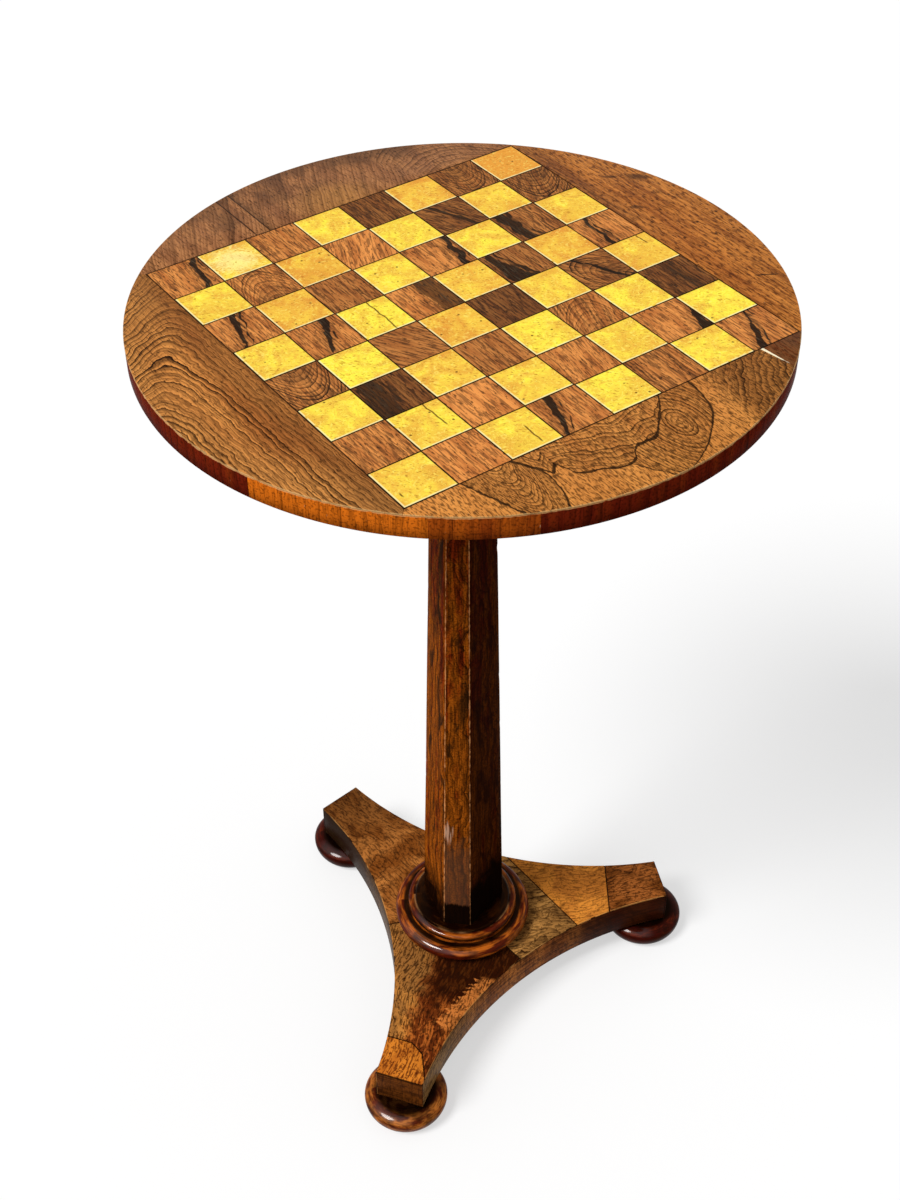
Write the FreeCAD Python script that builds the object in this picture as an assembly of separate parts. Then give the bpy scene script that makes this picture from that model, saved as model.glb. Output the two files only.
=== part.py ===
import FreeCAD, Part
import math
import os

# Chess table: a round veneered top with an inlaid board, on a six-sided column and a three-armed base.
# Lengths are millimetres and angles are degrees. The origin is on the floor under the column, +Z is up.

# Playing board
SQUARES_PER_SIDE = 8
SQUARE_SIDE = 39.75
BOARD_TURN = 36.2
BOARD_SHIFT_X = 2.2
BOARD_SHIFT_Y = 1.4
CORNER_PATCH_LENGTH = 35.0
CORNER_PATCH_LEAN = 8.0

# Round top
TABLE_HEIGHT = 725.0
RIM_MARGIN = 1.0
TOP_VENEER = 1.2
TOP_CORE_THICKNESS = 16.3
TOP_BOARD_COUNT = 3
BAND_THICKNESS = 1.2
BAND_SEAM_ANGLES = (-124.0, -94.6, -77.8, 30.0, 140.0)

# Bearer block under the top, and its screws
BLOCK_LENGTH = 220.0
BLOCK_WIDTH = 120.0
BLOCK_THICKNESS = 22.0
BLOCK_CHAMFER = 8.0
SCREW_EDGE = 18.0
SCREW_HEAD_RADIUS = 4.4
SCREW_SHANK_RADIUS = 2.2
SCREW_POINT_LENGTH = 4.0
SCREW_COVER = 5.0
SCREW_SLOT_WIDTH = 1.0
SCREW_SLOT_DEPTH = 1.1

# Column
COLUMN_TURN = -97.2
COLUMN_FOOT_RADIUS = 37.5
COLUMN_HEAD_RADIUS = 23.4
NARROW_FACE_HALF_ANGLE = 19.2
COLUMN_VENEER = 1.2
FOOT_TENON_SHOULDER = 6.0
HEAD_TENON_SHOULDER = 4.0
WEDGE_THICKNESS = 4.0
WEDGE_DEPTH = 16.0

# Turned collar
SEAT_MARGIN = 4.0
SEAT_RISE = 2.0
SEAT_LEDGE = 2.8
UPPER_BEAD_RADIUS = 3.5
QUIRK_HEIGHT = 1.0
LOWER_LEDGE = 5.4
LOWER_BEAD_RADIUS = 6.5
COLLAR_FILLET_HEIGHT = 4.5

# Three-armed base
ARM_TURN = -107.6
ARM_REACH = 189.0
ARM_END_WIDTH = 42.4
BASE_LEDGE = 12.0
BASE_SHIFT_X = 4.0
BASE_SHIFT_Y = 0.5
BASE_CORE_THICKNESS = 32.8
BASE_VENEER = 1.2
TONGUE_THICKNESS = 6.0
TONGUE_WIDTH = 24.0
TONGUE_MARGIN = 8.0
RIGHT_INNER_SEAM_PLACE = 78.9
RIGHT_INNER_SEAM_LEAN = 26.1
RIGHT_END_SEAM_PLACE = 136.2
RIGHT_END_SEAM_LEAN = -10.9
NEAR_PATCH_LENGTH = 37.5
NEAR_PATCH_CORNER_ACROSS = -1.0
NEAR_PATCH_STEP = 8.0
NEAR_PATCH_STEP_ACROSS = 11.0
NEAR_PATCH_END_ACROSS = 24.0

# Bun feet
FOOT_HEIGHT = 25.0
FOOT_RADIUS = 36.5
FOOT_SETBACK = 15.5
FOOT_BASE_INSET = 11.5
FOOT_NECK_INSET = 14.5
FOOT_NECK_HEIGHT = 2.5
FOOT_BELLY_SHARE = 0.56
SPIGOT_RADIUS = 11.0
SPIGOT_COVER = 14.0

# Fits: the glue line behind a bent veneer, and the play round a tenon, spigot or screw
GLUE_LINE = 0.1
TENON_PLAY = 0.15
SCREW_PLAY = 0.1

# Heights of the seats, from the floor up
BASE_CORE_TOP = FOOT_HEIGHT + BASE_CORE_THICKNESS
BASE_TOP = BASE_CORE_TOP + BASE_VENEER
LOWER_RING_TOP = BASE_TOP + COLLAR_FILLET_HEIGHT + 2 * LOWER_BEAD_RADIUS
UPPER_BEAD_TOP = LOWER_RING_TOP + QUIRK_HEIGHT + 2 * UPPER_BEAD_RADIUS
COLLAR_TOP = UPPER_BEAD_TOP + SEAT_RISE
TOP_CORE_TOP = TABLE_HEIGHT - TOP_VENEER
TOP_UNDERSIDE = TOP_CORE_TOP - TOP_CORE_THICKNESS
BLOCK_UNDERSIDE = TOP_UNDERSIDE - BLOCK_THICKNESS

# Radii that follow from the sizes above
BOARD_SIDE = SQUARES_PER_SIDE * SQUARE_SIDE
TOP_RADIUS = BOARD_SIDE / math.sqrt(2) + math.hypot(BOARD_SHIFT_X, BOARD_SHIFT_Y) + RIM_MARGIN
TOP_CORE_RADIUS = TOP_RADIUS - BAND_THICKNESS - GLUE_LINE
WIDE_FACE_HALF_ANGLE = 60.0 - NARROW_FACE_HALF_ANGLE
SEAT_RADIUS = COLUMN_FOOT_RADIUS + SEAT_MARGIN
UPPER_BEAD_CENTRE = SEAT_RADIUS + SEAT_RISE + SEAT_LEDGE
LOWER_BEAD_CENTRE = UPPER_BEAD_CENTRE + UPPER_BEAD_RADIUS + LOWER_LEDGE
WAIST_RADIUS = LOWER_BEAD_CENTRE + LOWER_BEAD_RADIUS + BASE_LEDGE

ARM_NAMES = ("near", "right", "left")
ARM_STEP = 120.0
UP = FreeCAD.Vector(0, 0, 1)
ORIGIN = FreeCAD.Vector(0, 0, 0)


def point(x, y, z=0.0):
    return FreeCAD.Vector(x, y, z)


def polar(radius, angle, z=0.0):
    turn = math.radians(angle)
    return point(radius * math.cos(turn), radius * math.sin(turn), z)


def inner_face_distance(corner_radius, half_angle):
    """Distance from the column's axis to the core under a face."""
    return corner_radius * math.cos(math.radians(half_angle)) - COLUMN_VENEER


FOOT_TENON_RADIUS = inner_face_distance(COLUMN_FOOT_RADIUS, WIDE_FACE_HALF_ANGLE) - FOOT_TENON_SHOULDER
HEAD_TENON_RADIUS = inner_face_distance(COLUMN_HEAD_RADIUS, WIDE_FACE_HALF_ANGLE) - HEAD_TENON_SHOULDER


def line(start, end):
    return Part.makeLine(start, end)


def arc(start, middle, end):
    return Part.Arc(start, middle, end).toShape()


def polygon_face(points):
    return Part.Face(Part.makePolygon(points + [points[0]]))


def slab(face, bottom, thickness):
    """A flat face at z = 0, lifted to a height and given a thickness."""
    solid = face.extrude(UP * thickness)
    solid.translate(UP * bottom)
    return solid


def rod(radius, bottom, top, x=0.0, y=0.0):
    return Part.makeCylinder(radius, top - bottom, point(x, y, bottom))


def turned(edges):
    """A solid of revolution about Z from profile edges in the XZ plane."""
    return Part.Face(Part.Wire(edges)).revolve(ORIGIN, UP, 360)


def rotated(shape, angle):
    copy = shape.copy()
    copy.rotate(ORIGIN, UP, angle)
    return copy


def on_board(shape):
    """Turns a shape from the board's own axes to its place on the top."""
    placed = rotated(shape, BOARD_TURN)
    placed.translate(point(BOARD_SHIFT_X, BOARD_SHIFT_Y))
    return placed


def on_base(shape, arm):
    """Turns a shape from the axes of an arm along +X to its place on the base."""
    placed = rotated(shape, ARM_TURN + ARM_STEP * arm)
    placed.translate(point(BASE_SHIFT_X, BASE_SHIFT_Y))
    return placed


def save(name, solids):
    shape = solids[0] if len(solids) == 1 else Part.makeCompound(solids)
    shape.exportStep("parts/" + name + ".step")


# Inlaid squares

def board_square(column, row):
    left = column * SQUARE_SIDE - BOARD_SIDE / 2
    near = row * SQUARE_SIDE - BOARD_SIDE / 2
    return on_board(Part.makeBox(SQUARE_SIDE, SQUARE_SIDE, TOP_VENEER, point(left, near, TOP_CORE_TOP)))


def make_squares():
    for row in range(SQUARES_PER_SIDE):
        light = [board_square(column, row) for column in range(SQUARES_PER_SIDE) if (column + row) % 2 == 0]
        dark = [board_square(column, row) for column in range(SQUARES_PER_SIDE) if (column + row) % 2 == 1]
        save("light_squares_rank_%d" % (row + 1), light)
        save("dark_squares_rank_%d" % (row + 1), dark)


# Border veneers between the board and the rim

def border_veneer(side_angle):
    """The part of the disc beyond one side of the board, mitred along the board's diagonals."""
    half = BOARD_SIDE / 2
    reach = 2 * TOP_RADIUS
    corners = [point(half, -half), point(reach, -reach), point(reach, reach), point(half, half)]
    sector = on_board(rotated(slab(polygon_face(corners), TOP_CORE_TOP, TOP_VENEER), side_angle))
    return sector.common(rod(TOP_RADIUS, TOP_CORE_TOP, TABLE_HEIGHT)).Solids[0]


def corner_patch_cutter():
    """Covers the right-hand end of the near right border, past a line that leans from the board's edge."""
    half = BOARD_SIDE / 2
    start = half - CORNER_PATCH_LENGTH
    reach = TOP_RADIUS
    lean = reach * math.tan(math.radians(CORNER_PATCH_LEAN))
    corners = [point(start, -half), point(start + lean, -half - reach),
               point(half + reach, -half - reach), point(half + reach, -half)]
    return on_board(slab(polygon_face(corners), TOP_CORE_TOP, TOP_VENEER))


def make_borders():
    near_right = border_veneer(-90)
    patch = corner_patch_cutter()
    save("border_veneer_near_right", [near_right.cut(patch).Solids[0]])
    save("border_patch_right_corner", [near_right.common(patch).Solids[0]])
    save("border_veneer_far_right", [border_veneer(0)])
    save("border_veneer_far_left", [border_veneer(90)])
    save("border_veneer_near_left", [border_veneer(180)])


# Edge band

def band_length(start_angle, end_angle):
    inner = TOP_RADIUS - BAND_THICKNESS
    middle_angle = (start_angle + end_angle) / 2
    outer = TOP_RADIUS
    edges = [arc(polar(outer, start_angle), polar(outer, middle_angle), polar(outer, end_angle)),
             line(polar(outer, end_angle), polar(inner, end_angle)),
             arc(polar(inner, end_angle), polar(inner, middle_angle), polar(inner, start_angle)),
             line(polar(inner, start_angle), polar(outer, start_angle))]
    return slab(Part.Face(Part.Wire(edges)), TOP_UNDERSIDE, TOP_CORE_THICKNESS)


def make_edge_band():
    ends = BAND_SEAM_ANGLES[1:] + (BAND_SEAM_ANGLES[0] + 360,)
    for index, (start, end) in enumerate(zip(BAND_SEAM_ANGLES, ends)):
        save("edge_band_%d" % (index + 1), [band_length(start, end)])


# Screws through the bearer block into the top's boards

def screw_blank(play):
    """A countersunk wood screw, head down at z = 0. The play makes the hole for it."""
    head = SCREW_HEAD_RADIUS + play
    shank = SCREW_SHANK_RADIUS + play
    length = BLOCK_THICKNESS + TOP_CORE_THICKNESS - SCREW_COVER + play
    corners = [point(0, 0, 0), point(head, 0, 0), point(shank, 0, head - shank),
               point(shank, 0, length - SCREW_POINT_LENGTH), point(0, 0, length)]
    return polygon_face(corners).revolve(ORIGIN, UP, 360)


def screw_places():
    along = BLOCK_LENGTH / 2 - SCREW_EDGE
    across = BLOCK_WIDTH / 2 - SCREW_EDGE
    return [point(x, y, BLOCK_UNDERSIDE) for y in (-along, 0, along) for x in (-across, across)]


def at_screw_places(shape):
    """Copies of a shape at every screw, turned with the boards of the top."""
    copies = []
    for place in screw_places():
        copy = shape.copy()
        copy.translate(place)
        copies.append(rotated(copy, BOARD_TURN))
    return copies


def make_screws():
    slot = Part.makeBox(2 * SCREW_HEAD_RADIUS, SCREW_SLOT_WIDTH, SCREW_SLOT_DEPTH,
                        point(-SCREW_HEAD_RADIUS, -SCREW_SLOT_WIDTH / 2, 0))
    save("block_screws", at_screw_places(screw_blank(0).cut(slot).Solids[0]))


# Ground boards of the top, glued edge to edge

def make_top_boards(screw_holes):
    width = 2 * TOP_CORE_RADIUS / TOP_BOARD_COUNT
    disc = rod(TOP_CORE_RADIUS, TOP_UNDERSIDE, TOP_CORE_TOP)
    for index in range(TOP_BOARD_COUNT):
        near = index * width - TOP_CORE_RADIUS
        strip = Part.makeBox(2 * TOP_CORE_RADIUS, width, TOP_CORE_THICKNESS,
                             point(-TOP_CORE_RADIUS, near, TOP_UNDERSIDE))
        board = disc.common(rotated(strip, BOARD_TURN)).cut(screw_holes)
        save("top_board_%d" % (index + 1), [board.Solids[0]])


# Bearer block across the boards

def make_block(screw_holes):
    outline = Part.makeBox(BLOCK_WIDTH, BLOCK_LENGTH, BLOCK_THICKNESS,
                           point(-BLOCK_WIDTH / 2, -BLOCK_LENGTH / 2, BLOCK_UNDERSIDE))
    middle = BLOCK_UNDERSIDE + BLOCK_THICKNESS / 2
    lower_edges = [edge for edge in outline.Edges if edge.BoundBox.ZMax < middle]
    block = rotated(outline.makeChamfer(BLOCK_CHAMFER, lower_edges), BOARD_TURN)
    mortise = rod(HEAD_TENON_RADIUS + TENON_PLAY, BLOCK_UNDERSIDE, TOP_UNDERSIDE)
    save("bearer_block", [block.cut(mortise).cut(screw_holes).Solids[0]])


# Column

def column_corners(corner_radius, inset, z):
    """Six corners of the column's section, pulled in by an inset behind its faces."""
    narrow = corner_radius * math.cos(math.radians(NARROW_FACE_HALF_ANGLE)) - inset
    wide = corner_radius * math.cos(math.radians(WIDE_FACE_HALF_ANGLE)) - inset
    half_width = (wide - narrow * math.cos(math.radians(60))) / math.sin(math.radians(60))
    reach = math.hypot(narrow, half_width)
    half_angle = math.degrees(math.atan2(half_width, narrow))
    corners = []
    for face in range(3):
        normal = COLUMN_TURN + ARM_STEP * face
        corners.append(polar(reach, normal - half_angle, z))
        corners.append(polar(reach, normal + half_angle, z))
    return corners


def tapered(bottom, top):
    """A flat-sided solid between two outlines with the same number of corners."""
    faces = [polygon_face(bottom), polygon_face(top)]
    for index in range(len(bottom)):
        after = (index + 1) % len(bottom)
        faces.append(polygon_face([bottom[index], bottom[after], top[after], top[index]]))
    solid = Part.Solid(Part.Shell(faces))
    if solid.Volume < 0:
        solid.reverse()
    return solid


def tenon_wedge(radius, end, depth):
    """A wedge across a round tenon: thick at the tenon's end and thin at the given depth."""
    half = WEDGE_THICKNESS / 2
    side = polygon_face([point(-radius, -half, end), point(-radius, half, end),
                         point(-radius, 0, end + depth)])
    prism = side.extrude(point(2 * radius, 0, 0))
    tenon = rod(radius, min(end, end + depth), max(end, end + depth))
    return rotated(prism.common(tenon).Solids[0], COLUMN_TURN)


def make_column():
    core = tapered(column_corners(COLUMN_FOOT_RADIUS, COLUMN_VENEER, COLLAR_TOP),
                   column_corners(COLUMN_HEAD_RADIUS, COLUMN_VENEER, BLOCK_UNDERSIDE))
    foot_tenon = rod(FOOT_TENON_RADIUS, FOOT_HEIGHT, COLLAR_TOP)
    head_tenon = rod(HEAD_TENON_RADIUS, BLOCK_UNDERSIDE, TOP_UNDERSIDE)
    wedges = [tenon_wedge(FOOT_TENON_RADIUS, FOOT_HEIGHT, WEDGE_DEPTH),
              tenon_wedge(HEAD_TENON_RADIUS, TOP_UNDERSIDE, -WEDGE_DEPTH)]
    save("tenon_wedges", wedges)
    shaft = core.fuse([foot_tenon, head_tenon])
    save("column_core", [shaft.cut(wedges).removeSplitter().Solids[0]])


def make_column_veneers():
    rings = [column_corners(COLUMN_FOOT_RADIUS, 0, COLLAR_TOP),
             column_corners(COLUMN_FOOT_RADIUS, COLUMN_VENEER, COLLAR_TOP),
             column_corners(COLUMN_HEAD_RADIUS, 0, BLOCK_UNDERSIDE),
             column_corners(COLUMN_HEAD_RADIUS, COLUMN_VENEER, BLOCK_UNDERSIDE)]
    foot_outer, foot_inner, head_outer, head_inner = rings
    for index in range(6):
        after = (index + 1) % 6
        kind = "narrow" if index % 2 == 0 else "wide"
        bottom = [foot_outer[index], foot_outer[after], foot_inner[after], foot_inner[index]]
        top = [head_outer[index], head_outer[after], head_inner[after], head_inner[index]]
        save("column_%s_veneer_%d" % (kind, index // 2 + 1), [tapered(bottom, top)])


# Turned collar

def bead(centre_radius, bead_radius, bottom):
    """A half-round bead that stands out from a turned ring."""
    return arc(point(centre_radius, 0, bottom), point(centre_radius + bead_radius, 0, bottom + bead_radius),
               point(centre_radius, 0, bottom + 2 * bead_radius))


def make_collar():
    bore = FOOT_TENON_RADIUS + TENON_PLAY
    bead_bottom = BASE_TOP + COLLAR_FILLET_HEIGHT
    lower = turned([line(point(bore, 0, BASE_TOP), point(LOWER_BEAD_CENTRE, 0, BASE_TOP)),
                    line(point(LOWER_BEAD_CENTRE, 0, BASE_TOP), point(LOWER_BEAD_CENTRE, 0, bead_bottom)),
                    bead(LOWER_BEAD_CENTRE, LOWER_BEAD_RADIUS, bead_bottom),
                    line(point(LOWER_BEAD_CENTRE, 0, LOWER_RING_TOP), point(bore, 0, LOWER_RING_TOP)),
                    line(point(bore, 0, LOWER_RING_TOP), point(bore, 0, BASE_TOP))])
    save("collar_lower_ring", [lower])
    quirk_top = LOWER_RING_TOP + QUIRK_HEIGHT
    round_share = SEAT_RISE * math.sqrt(0.5)
    seat_corner = SEAT_RADIUS + SEAT_RISE
    upper = turned([line(point(bore, 0, LOWER_RING_TOP), point(UPPER_BEAD_CENTRE, 0, LOWER_RING_TOP)),
                    line(point(UPPER_BEAD_CENTRE, 0, LOWER_RING_TOP),
                         point(UPPER_BEAD_CENTRE, 0, quirk_top)),
                    bead(UPPER_BEAD_CENTRE, UPPER_BEAD_RADIUS, quirk_top),
                    line(point(UPPER_BEAD_CENTRE, 0, UPPER_BEAD_TOP),
                         point(seat_corner, 0, UPPER_BEAD_TOP)),
                    arc(point(seat_corner, 0, UPPER_BEAD_TOP),
                        point(SEAT_RADIUS + round_share, 0, UPPER_BEAD_TOP + round_share),
                        point(SEAT_RADIUS, 0, COLLAR_TOP)),
                    line(point(SEAT_RADIUS, 0, COLLAR_TOP), point(bore, 0, COLLAR_TOP)),
                    line(point(bore, 0, COLLAR_TOP), point(bore, 0, LOWER_RING_TOP))])
    save("collar_upper_ring", [upper])


# Outline of the base, in the axes of one arm that points along +X

def hollow_arc():
    """Centre distance and radius of the concave side, from the arm's end corner and the waist."""
    corner_reach = math.hypot(ARM_REACH, ARM_END_WIDTH / 2)
    corner_angle = math.radians(ARM_STEP / 2) - math.atan2(ARM_END_WIDTH / 2, ARM_REACH)
    half_chord = corner_reach * math.sin(corner_angle)
    rise = corner_reach * math.cos(corner_angle) - WAIST_RADIUS
    radius = (half_chord ** 2 + rise ** 2) / (2 * rise)
    return WAIST_RADIUS + radius, radius


def side_point(along, inset):
    """A point on the concave side of the arm, at a distance along the arm."""
    distance, radius = hollow_arc()
    centre = polar(distance, ARM_STEP / 2)
    across = centre.y - math.sqrt((radius + inset) ** 2 - (along - centre.x) ** 2)
    return point(along, across)


def side_arc(along, inset):
    """The concave side from a distance along the arm to the middle of the waist."""
    end = side_point(along, inset)
    waist = polar(WAIST_RADIUS - inset, ARM_STEP / 2)
    middle = side_point((end.x + waist.x) / 2, inset)
    return arc(end, middle, waist)


def mirrored(edge):
    return edge.mirror(ORIGIN, point(0, 1, 0))


def arm_face(inset):
    """One arm of the base, mitred to the centre, pulled in by an inset behind its sides and end."""
    reach = ARM_REACH - inset
    corner = side_point(reach, inset)
    waist = polar(WAIST_RADIUS - inset, ARM_STEP / 2)
    edges = [line(ORIGIN, point(waist.x, -waist.y)),
             mirrored(side_arc(reach, inset)),
             line(point(corner.x, -corner.y), corner),
             side_arc(reach, inset),
             line(waist, ORIGIN)]
    return Part.Face(Part.Wire(Part.__sortEdges__(edges)))


def tenon_bore():
    return rod(FOOT_TENON_RADIUS + TENON_PLAY, FOOT_HEIGHT, BASE_TOP)


def foot_place():
    return ARM_REACH - FOOT_SETBACK


def spigot_length():
    return BASE_CORE_THICKNESS - SPIGOT_COVER


def tongue():
    """A loose tongue across the mitre that runs along +X."""
    start = FOOT_TENON_RADIUS + TENON_PLAY + math.hypot(BASE_SHIFT_X, BASE_SHIFT_Y) + TONGUE_MARGIN
    end = WAIST_RADIUS - BASE_VENEER - TONGUE_MARGIN
    middle = FOOT_HEIGHT + BASE_CORE_THICKNESS / 2
    return Part.makeBox(end - start, TONGUE_WIDTH, TONGUE_THICKNESS,
                        point(start, -TONGUE_WIDTH / 2, middle - TONGUE_THICKNESS / 2))


def make_base_arms():
    half_step = ARM_STEP / 2
    socket = rod(SPIGOT_RADIUS + TENON_PLAY, FOOT_HEIGHT, FOOT_HEIGHT + spigot_length(), foot_place())
    blank = slab(arm_face(BASE_VENEER + GLUE_LINE), FOOT_HEIGHT, BASE_CORE_THICKNESS)
    arm = blank.cut([socket, rotated(tongue(), half_step), rotated(tongue(), -half_step)])
    tongues = []
    for index, name in enumerate(ARM_NAMES):
        save("base_arm_" + name, [on_base(arm, index).cut(tenon_bore()).Solids[0]])
        tongues.append(on_base(rotated(tongue(), half_step), index))
    save("mitre_tongues", tongues)


# Veneers of the base

def seam_cutter(place, lean):
    """Everything past a seam that crosses the arm at a place, leaning from square."""
    slope = math.tan(math.radians(lean)) * ARM_REACH
    beyond = place + 2 * ARM_REACH
    corners = [point(place + slope, -ARM_REACH), point(beyond, -ARM_REACH),
               point(beyond, ARM_REACH), point(place - slope, ARM_REACH)]
    return slab(polygon_face(corners), BASE_CORE_TOP, BASE_VENEER)


def near_patch_cutter():
    """The let-in patch at the end of the near arm, with its stepped edge."""
    start = ARM_REACH - NEAR_PATCH_LENGTH
    corners = [point(start, -ARM_REACH), point(start, NEAR_PATCH_CORNER_ACROSS),
               point(start + NEAR_PATCH_STEP, NEAR_PATCH_STEP_ACROSS),
               point(ARM_REACH, NEAR_PATCH_END_ACROSS), point(2 * ARM_REACH, NEAR_PATCH_END_ACROSS),
               point(2 * ARM_REACH, -ARM_REACH)]
    return slab(polygon_face(corners), BASE_CORE_TOP, BASE_VENEER)


def make_base_top_veneers():
    sheet = slab(arm_face(0), BASE_CORE_TOP, BASE_VENEER)
    near, right, left = range(3)
    patch = near_patch_cutter()
    inner_cut = seam_cutter(RIGHT_INNER_SEAM_PLACE, RIGHT_INNER_SEAM_LEAN)
    end_cut = seam_cutter(RIGHT_END_SEAM_PLACE, RIGHT_END_SEAM_LEAN)
    pieces = {"base_top_veneer_near": (sheet.cut(patch), near),
              "base_top_patch_near": (sheet.common(patch), near),
              "base_top_veneer_right_inner": (sheet.cut(inner_cut), right),
              "base_top_veneer_right_middle": (sheet.common(inner_cut).cut(end_cut), right),
              "base_top_veneer_right_end": (sheet.common(end_cut), right),
              "base_top_veneer_left": (sheet, left)}
    for name, (piece, arm) in pieces.items():
        save(name, [on_base(piece, arm).cut(tenon_bore()).Solids[0]])


def side_veneer():
    """The bent veneer between two arms, on the side that faces +60 degrees from the first arm."""
    reach = ARM_REACH - BASE_VENEER
    outer = side_arc(reach, 0)
    inner = side_arc(reach, BASE_VENEER)
    half = Part.Face(Part.Wire(Part.__sortEdges__([
        outer, inner, line(side_point(reach, 0), side_point(reach, BASE_VENEER)),
        line(polar(WAIST_RADIUS, ARM_STEP / 2), polar(WAIST_RADIUS - BASE_VENEER, ARM_STEP / 2))])))
    middle_normal = polar(1, ARM_STEP / 2 + 90)
    faces = (half, half.mirror(ORIGIN, middle_normal))
    halves = [slab(face, FOOT_HEIGHT, BASE_CORE_THICKNESS) for face in faces]
    return halves[0].fuse(halves[1]).removeSplitter().Solids[0]


def end_veneer():
    outer = side_point(ARM_REACH, 0)
    inner = side_point(ARM_REACH - BASE_VENEER, 0)
    corners = [inner, outer, point(outer.x, -outer.y), point(inner.x, -inner.y)]
    return slab(polygon_face(corners), FOOT_HEIGHT, BASE_CORE_THICKNESS)


def make_base_edge_veneers():
    side_names = ("near_right", "far", "near_left")
    for index, (arm, side) in enumerate(zip(ARM_NAMES, side_names)):
        save("base_end_veneer_" + arm, [on_base(end_veneer(), index)])
        save("base_side_veneer_" + side, [on_base(side_veneer(), index)])


# Bun feet, each turned in one piece with its spigot

def bun_foot():
    base = FOOT_RADIUS - FOOT_BASE_INSET
    neck = FOOT_RADIUS - FOOT_NECK_INSET
    belly = FOOT_HEIGHT * FOOT_BELLY_SHARE
    neck_bottom = FOOT_HEIGHT - FOOT_NECK_HEIGHT
    bend = math.sqrt(0.5)
    lower = arc(point(base, 0, 0), point(base + FOOT_BASE_INSET * bend, 0, belly * (1 - bend)),
                point(FOOT_RADIUS, 0, belly))
    upper = arc(point(FOOT_RADIUS, 0, belly),
                point(neck + FOOT_NECK_INSET * bend, 0, belly + (neck_bottom - belly) * bend),
                point(neck, 0, neck_bottom))
    spigot_top = FOOT_HEIGHT + spigot_length()
    foot = turned([line(ORIGIN, point(base, 0, 0)), lower, upper,
                   line(point(neck, 0, neck_bottom), point(neck, 0, FOOT_HEIGHT)),
                   line(point(neck, 0, FOOT_HEIGHT), point(SPIGOT_RADIUS, 0, FOOT_HEIGHT)),
                   line(point(SPIGOT_RADIUS, 0, FOOT_HEIGHT), point(SPIGOT_RADIUS, 0, spigot_top)),
                   line(point(SPIGOT_RADIUS, 0, spigot_top), point(0, 0, spigot_top)),
                   line(point(0, 0, spigot_top), ORIGIN)])
    foot.translate(point(foot_place(), 0))
    return foot


def make_feet():
    for index, name in enumerate(ARM_NAMES):
        save("bun_foot_" + name, [on_base(bun_foot(), index)])


os.makedirs("parts", exist_ok=True)
all_screw_holes = at_screw_places(screw_blank(SCREW_PLAY))
make_squares()
make_borders()
make_edge_band()
make_top_boards(all_screw_holes)
make_block(all_screw_holes)
make_screws()
make_column()
make_column_veneers()
make_collar()
make_base_arms()
make_base_top_veneers()
make_base_edge_veneers()
make_feet()
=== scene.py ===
"""Looks of a round games table: inlaid board, figured veneers, turned parts and a plain studio."""
import logging
import math
import random
from dataclasses import dataclass, field, replace
from enum import Enum
from typing import Callable, Iterable, Sequence

import bmesh
import bpy
from mathutils import Matrix, Vector, noise


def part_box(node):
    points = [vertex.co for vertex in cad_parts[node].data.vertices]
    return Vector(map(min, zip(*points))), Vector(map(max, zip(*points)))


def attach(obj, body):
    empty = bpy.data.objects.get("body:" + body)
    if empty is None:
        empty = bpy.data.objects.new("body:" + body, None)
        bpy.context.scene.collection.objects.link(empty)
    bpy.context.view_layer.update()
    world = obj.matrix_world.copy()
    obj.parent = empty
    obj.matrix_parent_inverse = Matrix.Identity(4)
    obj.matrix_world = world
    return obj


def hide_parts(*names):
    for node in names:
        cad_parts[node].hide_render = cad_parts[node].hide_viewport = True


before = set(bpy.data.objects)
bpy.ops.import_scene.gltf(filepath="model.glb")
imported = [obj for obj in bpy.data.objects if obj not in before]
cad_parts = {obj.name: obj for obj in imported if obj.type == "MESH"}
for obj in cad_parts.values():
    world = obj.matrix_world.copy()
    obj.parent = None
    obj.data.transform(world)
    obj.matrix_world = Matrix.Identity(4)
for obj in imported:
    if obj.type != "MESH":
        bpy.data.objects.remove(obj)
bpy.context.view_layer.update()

LOG = logging.getLogger("games_table")
MM = 0.001
Colour = tuple[float, float, float, float]
Pair = tuple[float, float]


def linear(code: str) -> Colour:
    """Turns a colour written as six hex digits into the linear values that shaders use.

    Args:
        code: Red, green and blue as they look on a screen, such as "b07341".

    Returns:
        Linear red, green, blue and an alpha of one.
    """
    channels = [int(code[index:index + 2], 16) / 255 for index in (0, 2, 4)]
    red, green, blue = [((value + 0.055) / 1.055) ** 2.4 if value > 0.04045 else value / 12.92
                        for value in channels]
    return red, green, blue, 1.0


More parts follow.
